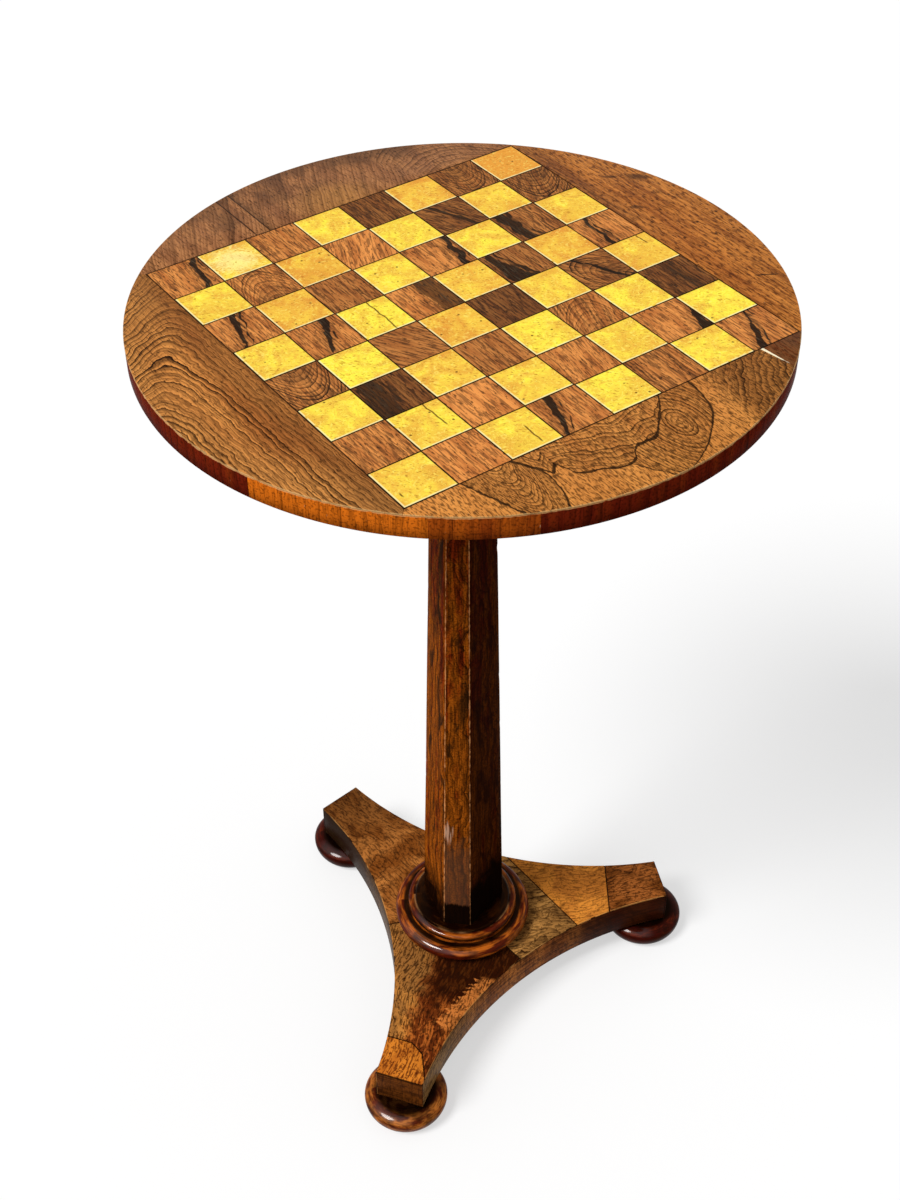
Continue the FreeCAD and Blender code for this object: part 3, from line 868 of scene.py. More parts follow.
@dataclass(frozen=True)
class IslandBorder(BorderFinish):
    """Near right side: a nest of loops, a cleft, a large island and an eye, on plain golden wood."""

    nest_axis: float = -92.0
    nest_foot: Pair = (-118.4, -159.6)
    nest_lean: float = 0.317
    nest_edge: tuple[Pair, ...] = (
        (-214, -79), (-203, -74), (-190, -71.3), (-183, -71), (-170, -76), (-158, -83))
    cleft_tip: Pair = (-67.2, -185.2)
    cleft_slope: float = -1.73
    island_start: float = -61.2
    island_edge: tuple[Pair, ...] = (
        (-61.5, -176), (-58, -185), (-55, -192), (-50, -195), (-40, -198), (-31, -203), (-23, -203.5),
        (-17.5, -201), (-13, -195), (-9, -192.5), (-2, -192), (6, -191.8), (11, -188), (21, -177.7),
        (32, -165), (36, -158))
    eye: Pair = (27.7, -189.0)
    eye_foot: Pair = (-23.5, -204.0)
    eye_lean: float = 0.62
    eye_edge: tuple[Pair, ...] = (
        (-227, 8), (-222.5, 17), (-216, 27.7), (-208.7, 36.3), (-201, 44.8), (-190.5, 53.3),
        (-175.6, 58.7), (-158, 61))

    def edges(self, u: Signal, v: Signal) -> IslandEdges:
        """Sets out the edges of the regions, all a little jagged.

        Args:
            u: Place along the near right side, in millimetres.
            v: Place along the near left side.

        Returns:
            The distances past the edges.
        """
        jag = (joined(u, v).noise(0.22, 3.0) - 0.5) * 3.4
        beside_tip = u - self.cleft_tip[0]
        return IslandEdges(
            nest_left=u - self.nest_foot[0] + (v - self.nest_foot[1]) * self.nest_lean + jag,
            nest_right=u - v.curve(self.nest_edge) + jag * 0.6,
            cleft=v - self.cleft_tip[1] - (beside_tip * self.cleft_slope).higher(beside_tip) + jag,
            island=v - u.curve(self.island_edge) + jag,
            eye_left=u - self.eye_foot[0] + (v - self.eye_foot[1]) * self.eye_lean + jag,
            eye_right=u - v.curve(self.eye_edge) + jag * 0.5)

    def figure(self, u: Signal, v: Signal, colour: Signal) -> tuple[Signal, Signal]:
        """The regions are told apart by their edges, and each has its own family of lines.

        Args:
            u: Place along the near right side, in millimetres.
            v: Place along the near left side.
            colour: The colour so far.

        Returns:
            The colour with the figure on it, and the figure's lines.
        """
        wander = self.ripple(u, v)
        edges = self.edges(u, v)
        start = self.island_start
        in_island = edges.island.step(0.0, 0.6) * u.step(start - 0.6, start)
        in_cleft = edges.cleft.step(0.0, 0.6) * u.step(start + 0.6, start)
        in_nest = edges.nest_right.step(0.3, -0.3) * edges.nest_left.step(-0.3, 0.3) * (1 - in_cleft)
        in_eye = edges.eye_right.step(0.3, -0.3) * (1 - in_island) * edges.eye_left.step(-0.3, 0.3)
        in_eye = in_eye * u.step(-40.0, -38.0)
        from_axis = u - self.nest_axis
        nest_course = v - from_axis * from_axis / 6.5 + wander * 0.35
        island_course = v - abs(u + 3) * 0.42 + wander * 0.75
        eye_u = (u - self.eye[0]) / 0.62
        eye_v = v - self.eye[1]
        eye_course = (eye_u * eye_u + eye_v * eye_v).root() + wander * 0.22
        families = ((in_nest, nest_course, 4.4), (in_island, island_course, 4.8), (in_eye, eye_course, 4.2),
                    (in_cleft, edges.cleft, 4.4))
        lines = sum(RINGS(course, spacing=spacing, sharpness=1.9, unevenness=1.5) * region
                    for region, course, spacing in families)
        inside = (in_nest + in_island + in_eye + in_cleft).lower(1.0)
        colour = colour.tinted(inside * 0.15, "7a4824")
        leaning = u * 0.77 - v * 0.64 + wander * 0.6
        plain = RINGS(leaning, spacing=4.2, sharpness=1.6, unevenness=1.9)
        right = u.step(62.0, 84.0)
        colour = colour.tinted(right * 0.55, "764823")
        colour = colour.tinted((plain * (right + 0.2)).lower(1.0), self.ink)
        colour = colour.tinted((lines * 1.1).lower(1.0), self.ink)
        return colour.tinted(self.outlines(u, v, edges, in_island), "1c130c"), lines

    def outlines(self, u: Signal, v: Signal, edges: IslandEdges, in_island: Signal) -> Signal:
        """Draws the inky lines between the regions, thick and thin.

        Args:
            u: Place along the near right side, in millimetres.
            v: Place along the near left side.
            edges: The distances past the edges.
            in_island: One inside the island.

        Returns:
            The strength of the ink.
        """
        start = self.island_start
        swell = joined(u, v).noise(0.07) * 2.2
        beside = u.step(start + 0.8, start - 0.2)
        drawn = edges.cleft.step(0.0, 0.6) * (edges.cleft + swell).step(6.5, 3.0) * beside
        limits = ((edges.island, 1.0, u.step(start - 1.2, start - 0.4)),
                  (edges.eye_right, 0.9, 1 - in_island), (edges.eye_left, 0.5, v.step(-203.0, -205.0)),
                  (edges.nest_left, 0.8, 1.0), (edges.nest_right, 0.6, 1.0))
        for edge, width, limit in limits:
            drawn = drawn.higher((abs(edge) - swell * width).step(0.3, -0.4) * limit)
        return drawn * 0.9


@dataclass(frozen=True)
class BandFinish(Finish):
    """Cross-grained band round the rim. Each length carries its own tone."""

    red: str = "6e1e0c"
    orange: str = "e27218"
    black: str = "240703"

    def paint(self, graph: Graph) -> Surface:
        """Upright fibres and streaks, pale chips below the arris and a few cross cracks.

        Args:
            graph: The material's graph.

        Returns:
            What was painted.
        """
        x, y, z = graph.place().parts()
        around = y.math("ARCTAN2", x) * TOP_RADIUS
        grain = joined(around, z)
        tone = graph.value_of("tone")
        broad = FIBRES(grain, width=14.0, length=120.0)
        fine = FIBRES(grain, width=1.2, length=14.0)
        colour = graph.mix((tone + (broad - 0.5) * 0.7).step(0.0, 0.9), self.red, self.orange)
        colour = colour.tinted(fine.step(0.45, 0.68) * 0.42, self.black)
        streak = RINGS(around + (broad - 0.5) * 20, spacing=9.0, sharpness=4.0, unevenness=1.8)
        colour = colour.tinted(streak * 0.75, self.black)
        specks = grain.noise(0.55, 2.0)
        colour = colour.tinted(specks.step(0.50, 0.64) * 0.5, self.black)
        low, top = [corner.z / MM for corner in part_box("edge_band_1")]
        colour = colour.tinted(z.step(low + 9.0, low) * 0.45, self.black)
        chips = WEAR(graph.place(), edge=top - z, reach=0.7)
        colour = colour.tinted(chips * 0.7, "d9a066")
        scratch = joined(around * 0.7, z * 0.10).noise(1.0, 1.0).step(0.76, 0.80)
        colour = colour.tinted(scratch * 0.6, "d9b48c")
        return Surface(colour, fine * 0.05 - streak * 0.03, graph.place())


@dataclass(frozen=True)
class ColumnFinish(Finish):
    """Rosewood veneer of the column, with pale arrises (partly wear, partly painted highlight), painted
    shade on the right wide face and black towards the foot.
    """

    golden: str = "b05a12"
    red: str = "8c2e0b"
    dark: str = "130602"
    pale: str = "d8925a"

    def paint(self, graph: Graph) -> Surface:
        """Long wavy streaks, dark blotches, painted sheen and a pale spot on the near face, and pale lines
        along both arrises, partly wear and partly painted highlight.

        Args:
            graph: The material's graph.

        Returns:
            What was painted.
        """
        x, y, seed = graph.vector_of("grain").parts()
        grain = joined(x, y, seed)
        place = graph.place()
        bottom, top = [corner.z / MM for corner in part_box("column_wide_veneer_1")]
        rise = y - bottom
        broad = FIBRES(grain, width=9.0, length=150.0)
        fine = FIBRES(grain, width=1.5, length=26.0)
        mottle = grain.noise(0.06, 4.0, 0.8)
        lift = rise.step(top - bottom, 150.0)
        warmth = broad + (mottle - 0.5) * 0.5 - lift * 0.24 + 0.06
        colour = graph.mix(warmth.step(0.32, 0.58), self.golden, self.red)
        colour = colour.tinted(fine.step(0.46, 0.58) * 0.55, self.dark)
        sway = (joined(seed, y * 0.009).noise(1.0, 3.0) - 0.5) * 46 + (mottle - 0.5) * 6
        streaks = RINGS(x + sway, spacing=12.0, sharpness=2.4, unevenness=1.9)
        colour = colour.tinted(streaks, self.dark)
        bent = x + sway * 1.4 + rise * 0.05 + (mottle - 0.5) * 10
        contours = RINGS(bent, spacing=7.0, sharpness=3.4, unevenness=1.9)
        colour = colour.tinted(contours * 0.95, self.dark)
        specks = grain.noise(0.6, 2.0)
        colour = colour.tinted(specks.step(0.48, 0.62) * 0.5, self.dark)
        spots = joined(x * 0.07, y * 0.022, seed).noise(1.0, 4.0, 0.5)
        colour = colour.tinted(spots.step(0.56, 0.66) * 0.75, "1a1207")
        # Each face's tone darkens it: the small tones vary at random, the right wide face's large one is
        # painted shade.
        colour = colour.tinted(graph.value_of("tone"), "1c0503")
        bleach = graph.value_of("bleach")
        # Painted sheen: a greyish lower part of the near face.
        lower_sheen = (rise + (mottle - 0.5) * 60).step(130.0, 80.0)
        colour = colour.tinted(lower_sheen * bleach * 0.6, "52392a")
        # A pale spot on the near face.
        aside, above = x + 9, rise - 122
        reach = (aside * aside * 6 + above * above).root() + (fine - 0.5) * 40
        colour = colour.tinted(reach.step(13.0, 4.0) * bleach * 0.6, "d0ab90")
        # Black towards the foot, reaching higher on darker-toned faces.
        black = (rise + (mottle - 0.5) * 60 - graph.value_of("tone") * 30).step(58.0, 14.0) * (1 - bleach)
        foot = black.higher((rise + (fine - 0.5) * 12).step(29.0, 25.0) * bleach)
        colour = colour.tinted(foot * 0.97, "080302")
        # Pale lines along both arrises: partly wear, partly painted highlight.
        edge = graph.value_of("near_edge").lower(graph.value_of("far_edge"))
        wear = WEAR(place, edge=edge, reach=0.7)
        wear = wear * y.noise_along(0.02).step(0.30, 0.44) * (1 - foot * 0.7)
        colour = colour.tinted(wear * 0.8, self.pale)
        return Surface(colour, fine * 0.06 - streaks * 0.05, place)


@dataclass(frozen=True)
class BaseFinish(Finish):
    """Mottled veneer of one part of the base, drawn on the axes of its arm."""

    turn: float = 0.0
    centre: Pair = (4.0, 0.5)
    light: str = "c47c34"
    shade: str = "8a4f20"
    ink: str = "220d05"
    inkiness: float = 0.6
    spacing: float = 9.0
    sharpness: float = 6.0
    seed: float = 0.0
    grit: float = 0.5
    tip_shade: float = 0.0
    shaded_reach: Pair = (90.0, 170.0)

    def arm_axes(self, graph: Graph) -> tuple[Signal, Signal]:
        """Gives the distances along and across the arm, from the middle of the base."""
        x, y, z = graph.place().parts()
        return turned(x - self.centre[0], y - self.centre[1], self.turn)

    def paint(self, graph: Graph) -> Surface:
        """Clouds of the light and shade colours, wandering veins, fine fibres, speckle, pale free arrises
        (partly wear, partly painted highlight) and dark seams.

        Args:
            graph: The material's graph.

        Returns:
            What was painted.
        """
        along, across = self.arm_axes(graph)
        place = graph.place()
        height = place.parts()[2]
        shifted = joined(along, across, self.seed + height * 0.03)
        cloud = shifted.noise(0.035, 4.0, 0.6)
        colour = graph.mix(cloud.step(0.36, 0.62), self.light, self.shade)
        colour = colour.tinted(along.step(*self.shaded_reach) * self.tip_shade, self.ink)
        colour = self.detail(along, across, colour)
        curl = (shifted.noise(0.014, 1.0) - 0.5) * 30
        drawn = joined(across + curl, along + height, self.seed)
        fibres = FIBRES(drawn, width=1.7, length=9.0)
        colour = colour.tinted(fibres.step(0.48, 0.60) * self.grit, self.ink)
        course = across * 0.8 + (shifted.noise(0.016, 2.0) - 0.5) * 90 + (cloud - 0.5) * 24
        lines = RINGS(course, spacing=self.spacing, sharpness=self.sharpness, unevenness=1.8)
        colour = colour.tinted((lines * self.inkiness * 1.3).lower(1.0), self.ink)
        specks = joined(along, across, height).noise(0.55, 2.0)
        colour = colour.tinted(specks.step(0.54, 0.66) * self.grit, self.ink)
        # Pale line on the free arrises: partly wear, partly painted highlight.
        ragged = place.noise(0.05, 5.0).step(0.40, 0.62)
        colour = colour.tinted(graph.value_of("arris") * ragged * 0.6, "c98f4e")
        colour = colour.tinted(graph.value_of("seam") * 0.9, "140804")
        return Surface(colour, specks * 0.08 - lines * 0.05, place)

    def detail(self, along: Signal, across: Signal, colour: Signal) -> Signal:
        """Leaves the colour as it is. The near arm, the sides and the ends add their own detail."""
        return colour


@dataclass(frozen=True)
class NearArmFinish(BaseFinish):
    """Veneer of the near arm: brown on the left, burnt red before the collar, a ragged golden edge."""

    burnt: str = "150502"
    tooth: str = "d27c38"

    def detail(self, along: Signal, across: Signal, colour: Signal) -> Signal:
        """Adds the burnt patch, the dark middle and the toothed golden edge on the right.

        Args:
            along: Distance along the arm, in millimetres.
            across: Distance across the arm.
            colour: The colour so far.

        Returns:
            The colour with the detail on it.
        """
        flat = joined(along, across)
        ragged = (flat.noise(0.10, 4.0) - 0.5) * 22
        flames = joined(along * 0.05, across * 0.16).noise(1.0, 4.0, 1.5)
        olive = (across + ragged * 1.4).step(-6.0, -20.0)
        colour = colour.tinted(olive * 0.4, "8a6836")
        reddish = (along + ragged).step(260.0, 170.0) * (across + ragged).step(-16.0, -2.0)
        colour = colour.tinted(reddish * 0.75, "a04a18")
        colour = colour.tinted(reddish * flames.step(0.44, 0.52) * 0.75, "4a1606")
        patch = (along + ragged * 1.2).step(124.0, 84.0) * (across + ragged).step(-20.0, 2.0)
        colour = colour.tinted(patch * 0.85, self.burnt)
        uneven = along.noise_along(0.11)
        teeth = (along + ragged * 0.5).math("PINGPONG", 2.8) * uneven * 4.2
        past = across - 17 + teeth - ragged * 0.25 - ((along * -1 + 116).higher(0.0)) * 0.44
        golden = past.step(-0.4, 0.6) * (along + ragged * 0.3).step(132.0, 127.0)
        golden = golden * (along + ragged * 0.3).step(64.0, 70.0)
        return colour.tinted(golden * 0.85, self.tooth)


@dataclass(frozen=True)
class SideFinish(BaseFinish):
    """Veneer of a side or an end of the base, which changes in colour from one arm to the next."""

    tip: str = "3a0e07"
    tip_reach: Pair = (80.0, 165.0)
    other: str = "684e28"
    other_reach: Pair = (10.0, -60.0)

    def detail(self, along: Signal, across: Signal, colour: Signal) -> Signal:
        """Changes the colour towards both arms' tips, and draws the grain out along the side.

        Args:
            along: Distance along the arm, in millimetres.
            across: Distance across the arm.
            colour: The colour so far.

        Returns:
            The colour with the detail on it.
        """
        height = along.graph.place().parts()[2]
        streaks = joined(along * 0.03, across * 0.03, height * 0.6).noise(1.0, 3.0)
        colour = colour.tinted(along.step(*self.tip_reach) * 0.95, self.tip)
        colour = colour.tinted(along.step(*self.other_reach) * 0.85, self.other)
        return colour.tinted(streaks.step(0.44, 0.60) * 0.6, self.ink)


@dataclass(frozen=True)
class TurnedFinish(Finish):
    """Glossy turned rosewood of the collar, black in the quirks and the seat. Pairs are ends of soft steps.
    """

    red: str = "5e260b"
    orange: str = "a05a1a"
    dark: str = "180804"
    axis: Pair = (0.0, 0.0)
    share: float = 0.5
    polished_side: float = -116.0
    seat_rim: float = 44.0
    seat_radius: Pair = (46.5, 43.5)
    seat_height: Pair = (82.0, 84.0)
    ledge_inside: Pair = (48.4, 50.2)
    ledge_outside: Pair = (56.0, 53.0)
    ledge_height: Pair = (73.0, 75.5)

    def paint(self, graph: Graph) -> Surface:
        """Streaks that the lathe drew out round the piece, black hollows, a painted highlight round the
        seat, and the polish of one side.

        Args:
            graph: The material's graph.

        Returns:
            What was painted.
        """
        place = graph.place()
        x, y, z = place.parts()
        x, y = x - self.axis[0], y - self.axis[1]
        radius = (x * x + y * y).root()
        around = y.math("ARCTAN2", x) * 45
        drawn = joined(around * 0.05, z * 0.16, radius * 0.16)
        mottle = drawn.noise(1.0, 4.0, 0.4)
        colour = graph.mix(mottle.step(self.share, self.share + 0.2), self.red, self.orange)
        fibres = joined(around * 0.12, z * 0.9, radius * 0.9).noise(1.0, 3.0)
        colour = colour.tinted(fibres.step(0.46, 0.64) * 0.55, self.dark)
        clouds = place.noise(0.045, 3.0).step(0.50, 0.64)
        colour = colour.tinted(clouds * 0.6, self.dark)
        # Black in the hollows: painted shade round a foot's neck under the arm, and black in the collar's
        # quirks and seat.
        hollow = self.hollow(radius, z)
        colour = colour.tinted(hollow * 0.95, "050201")
        # Painted highlight: a pale broken line round the rim of the seat.
        seat_highlight = abs(radius - self.seat_rim).step(1.0, 0.3) * z.step(*self.seat_height)
        colour = colour.tinted(seat_highlight * mottle.step(0.36, 0.58) * 0.5, "a8764a")
        facing = turned(x, y, math.radians(self.polished_side))[0] / radius
        polish = self.rubbed(radius, z) * (1 - hollow) * (facing.step(0.70, 0.97) * 0.95 + 0.05)
        marks = z.noise_along(1.6)
        return Surface(colour, marks * 0.03 + fibres * 0.03, place, polish)

    def rubbed(self, radius: Signal, height: Signal) -> Signal:
        """Tells the tops of the collar's two beads, which are rubbed bright.

        Args:
            radius: Distance from the lathe's axis, in millimetres.
            height: Height above the floor, in millimetres.

        Returns:
            One where it is rubbed.
        """
        step_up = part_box("collar_upper_ring")[0].z / MM
        low_bead, high_bead = [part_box("collar_%s_ring" % level)[1].x / MM for level in ("lower", "upper")]
        above = height.step(step_up - 0.5, step_up + 0.5)
        return (radius - above * (high_bead - low_bead)).step(low_bead - 0.3, low_bead - 1.8)

    def hollow(self, radius: Signal, height: Signal) -> Signal:
        """Tells the collar's quirks and seat, which are painted black.

        Args:
            radius: Distance from the lathe's axis, in millimetres.
            height: Height above the floor, in millimetres.

        Returns:
            One in the hollows.
        """
        ledge = radius.step(*self.ledge_inside) * radius.step(*self.ledge_outside)
        seat = radius.step(*self.seat_radius) * height.step(*self.seat_height)
        return (ledge * height.step(*self.ledge_height)).higher(seat)


@dataclass(frozen=True)
class FootFinish(TurnedFinish):
    """The turned finish of a bun foot, with black painted shade in the hollow round its neck."""

    belly_radius: Pair = (36.0, 33.5)
    neck_radius: Pair = (31.0, 25.0)
    neck_height: Pair = (15.0, 19.0)

    def rubbed(self, radius: Signal, height: Signal) -> Signal:
        """Tells the top of the belly."""
        return radius.step(*self.belly_radius)

    def hollow(self, radius: Signal, height: Signal) -> Signal:
        """Tells the hollow round the neck, under the arm, which is painted in shade and left without coat.
        """
        return radius.step(*self.neck_radius) * height.step(*self.neck_height)


@dataclass(frozen=True)
class BareFinish(Finish):
    """Bare wood of the hidden pieces, sawn or planed and gone brown with age."""

    light: str = "b98f5e"
    dark: str = "7a5230"
    turn: float = 0.0
    stretch: float = 90.0

    def paint(self, graph: Graph) -> Surface:
        """Straight grain with growth lines, pores and stains.

        Args:
            graph: The material's graph.

        Returns:
            What was painted.
        """
        place = graph.place()
        x, y, z = place.parts()
        across, along = turned(x, y, self.turn)
        depth = across + z * 0.6
        grain = joined(depth, along, z * 0.05)
        broad = FIBRES(grain, width=12.0, length=self.stretch)
        fine = FIBRES(grain, width=0.8, length=20.0)
        stain = place.noise(0.012, 4.0)
        colour = graph.mix(broad.step(0.35, 0.7), self.light, self.dark)
        lines = RINGS(depth + (broad - 0.5) * 12, spacing=5.5, sharpness=3.0)
        colour = colour.tinted(lines * 0.45 + fine.step(0.5, 0.8) * 0.3, self.dark)
        colour = colour.tinted(stain.step(0.5, 0.72) * 0.45, "3d2816")
        return Surface(colour, fine * 0.10 + lines * 0.04, place)


@dataclass(frozen=True)
class SteelFinish(Finish):
    """Dulled steel of the wood screws."""

    clean: str = "8d8880"
    rust: str = "5a3a24"

    def paint(self, graph: Graph) -> Surface:
        """Scratched metal with brown bloom.

        Args:
            graph: The material's graph.

        Returns:
            What was painted.
        """
        place = graph.place()
        bloom = place.noise(0.4, 4.0)
        scratches = place.scaled(0.4, 4.0, 4.0).noise(1.0, 2.0)
        colour = graph.mix(bloom.step(0.45, 0.65) * 0.7, self.clean, self.rust)
        return Surface(colour, scratches * 0.03 + bloom * 0.03, place)


def new_piece(name: str, mesh: bpy.types.Mesh) -> bpy.types.Object:
    """Puts a mesh in the scene as an object at the origin.

    Args:
        name: The object's name.
        mesh: Its mesh.

    Returns:
        The object.
    """
    made = bpy.data.objects.new(name, mesh)
    bpy.context.scene.collection.objects.link(made)
    return made


def settle(piece: bpy.types.Object, nodes: Iterable[str]) -> None:
    """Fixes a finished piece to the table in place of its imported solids.

    Args:
        piece: The finished object.
        nodes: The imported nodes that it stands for.
    """
    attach(piece, "root")
    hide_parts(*nodes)
    LOG.info("%s: %d faces", piece.name, len(piece.data.polygons))


def smooth(mesh: bpy.types.Mesh, angle: float = 32.0) -> None:
    """Shades a mesh smooth, apart from edges sharper than an angle in degrees."""
    mesh.shade_smooth()
    mesh.set_sharp_from_angle(angle=math.radians(angle))


def mark(mesh: bpy.types.Mesh, name: str, values: Sequence[float]) -> None:
    """Gives each vertex a number that a finish reads."""
    layer = mesh.attributes.new(name, "FLOAT", "POINT")
    layer.data.foreach_set("value", values)


def evaluate(piece: bpy.types.Object) -> None:
    """Turns the result of a piece's modifiers into its own plain mesh.

    Args:
        piece: The object.
    """
    view = bpy.context.evaluated_depsgraph_get()
    result = bpy.data.meshes.new_from_object(piece.evaluated_get(view), preserve_all_data_layers=True,
                                             depsgraph=view)
    piece.modifiers.clear()
    piece.data = result


def set_inputs(modifier: bpy.types.Modifier, values: dict[str, object]) -> None:
    """Sets a node modifier's inputs, each through its socket's identifier.

    Args:
        modifier: The modifier.
        values: What each input gets, by its name.
    """
    for item in modifier.node_group.interface.items_tree:
        if item.item_type == "SOCKET" and item.in_out == "INPUT" and item.name in values:
            modifier[item.identifier] = values[item.name]


def softened_copy(name: str, node: str, width: float) -> bpy.types.Object:
    """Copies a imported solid, joins its triangles into flat faces and eases its edges.

    Args:
        name: The new piece's name.
        node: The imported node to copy.
        width: Width of the eased edge in millimetres.

    Returns:
        The new piece, whose eased faces carry an arris value of one.
    """
    work = bmesh.new()
    work.from_mesh(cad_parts[node].data)
    bmesh.ops.remove_doubles(work, verts=work.verts, dist=0.002 * MM)
    bmesh.ops.dissolve_limit(work, angle_limit=math.radians(0.3), verts=work.verts, edges=work.edges)
    layer = work.faces.layers.float.new("arris")
    sharp = [edge for edge in work.edges if edge.is_manifold and edge.calc_face_angle() > math.radians(25)]
    eased = bmesh.ops.bevel(work, geom=sharp, offset=width * MM, segments=2, profile=0.5, affect="EDGES",
                            clamp_overlap=True)
    for face in eased["faces"]:
        face[layer] = 1.0
    mesh = bpy.data.meshes.new(name)
    work.to_mesh(mesh)
    work.free()
    smooth(mesh)
    return new_piece(name, mesh)


class GeometryTree(NodeWriter):
    """Writes one geometry node tree, which ends in plain geometry with a finish."""

    def __init__(self, name: str, inputs: dict[str, str], output: str) -> None:
        """Makes the tree and its sockets.

        Args:
            name: The tree's name.
            inputs: The type of each input, such as Float, by the input's name.
            output: The name of the geometry that the tree gives.
        """
        super().__init__(bpy.data.node_groups.new(name, "GeometryNodeTree"))
        for label, kind in inputs.items():
            self.tree.interface.new_socket(label, in_out="INPUT", socket_type="NodeSocket" + kind)
        self.tree.interface.new_socket(output, in_out="OUTPUT", socket_type="NodeSocketGeometry")
        self.given = self.node("NodeGroupInput", {}).outputs

    def add(self, kind: str, inputs: dict[str | int, object], **settings: object) -> bpy.types.NodeOutputs:
        """Adds a node, whose type is given without the word GeometryNode, and gives its outputs."""
        return self.node("GeometryNode" + kind, inputs, **settings).outputs

    def number(self, operation: str, *values: object) -> bpy.types.NodeSocket:
        """Gives the result of a Math node."""
        return self.node("ShaderNodeMath", dict(enumerate(values)), operation=operation).outputs[0]

    def upright(self, height: bpy.types.NodeSocket) -> bpy.types.NodeSocket:
        """Gives a vector with an upright part only, as a move or a turn about the upright axis."""
        return self.node("ShaderNodeCombineXYZ", {"Z": height}).outputs[0]

    def finish(self, geometry: bpy.types.NodeSocket) -> bpy.types.NodeTree:
        """Ends the tree.

        Args:
            geometry: What the tree has made.

        Returns:
            The tree, whose input named Finish is the material.
        """
        real = self.add("RealizeInstances", {0: geometry})
        coated = self.add("SetMaterial", {"Geometry": real[0], "Material": self.given["Finish"]})
        self.node("NodeGroupOutput", {0: coated[0]})
        return self.tree


@dataclass(frozen=True)
class Figure:
    """What a dark square shows. Places are millimetres from its middle, towards the far right side.

    The streak is given where it meets the square's far left and near right edges, with its width there.
    """

    tone: float = 0.05
    lines: float = 0.35
    lean: float = 0.0
    arch: float = 0.0
    streak: Pair = (0.0, 0.0)
    width: Pair = (-9.0, -9.0)
    ink: float = 0.95


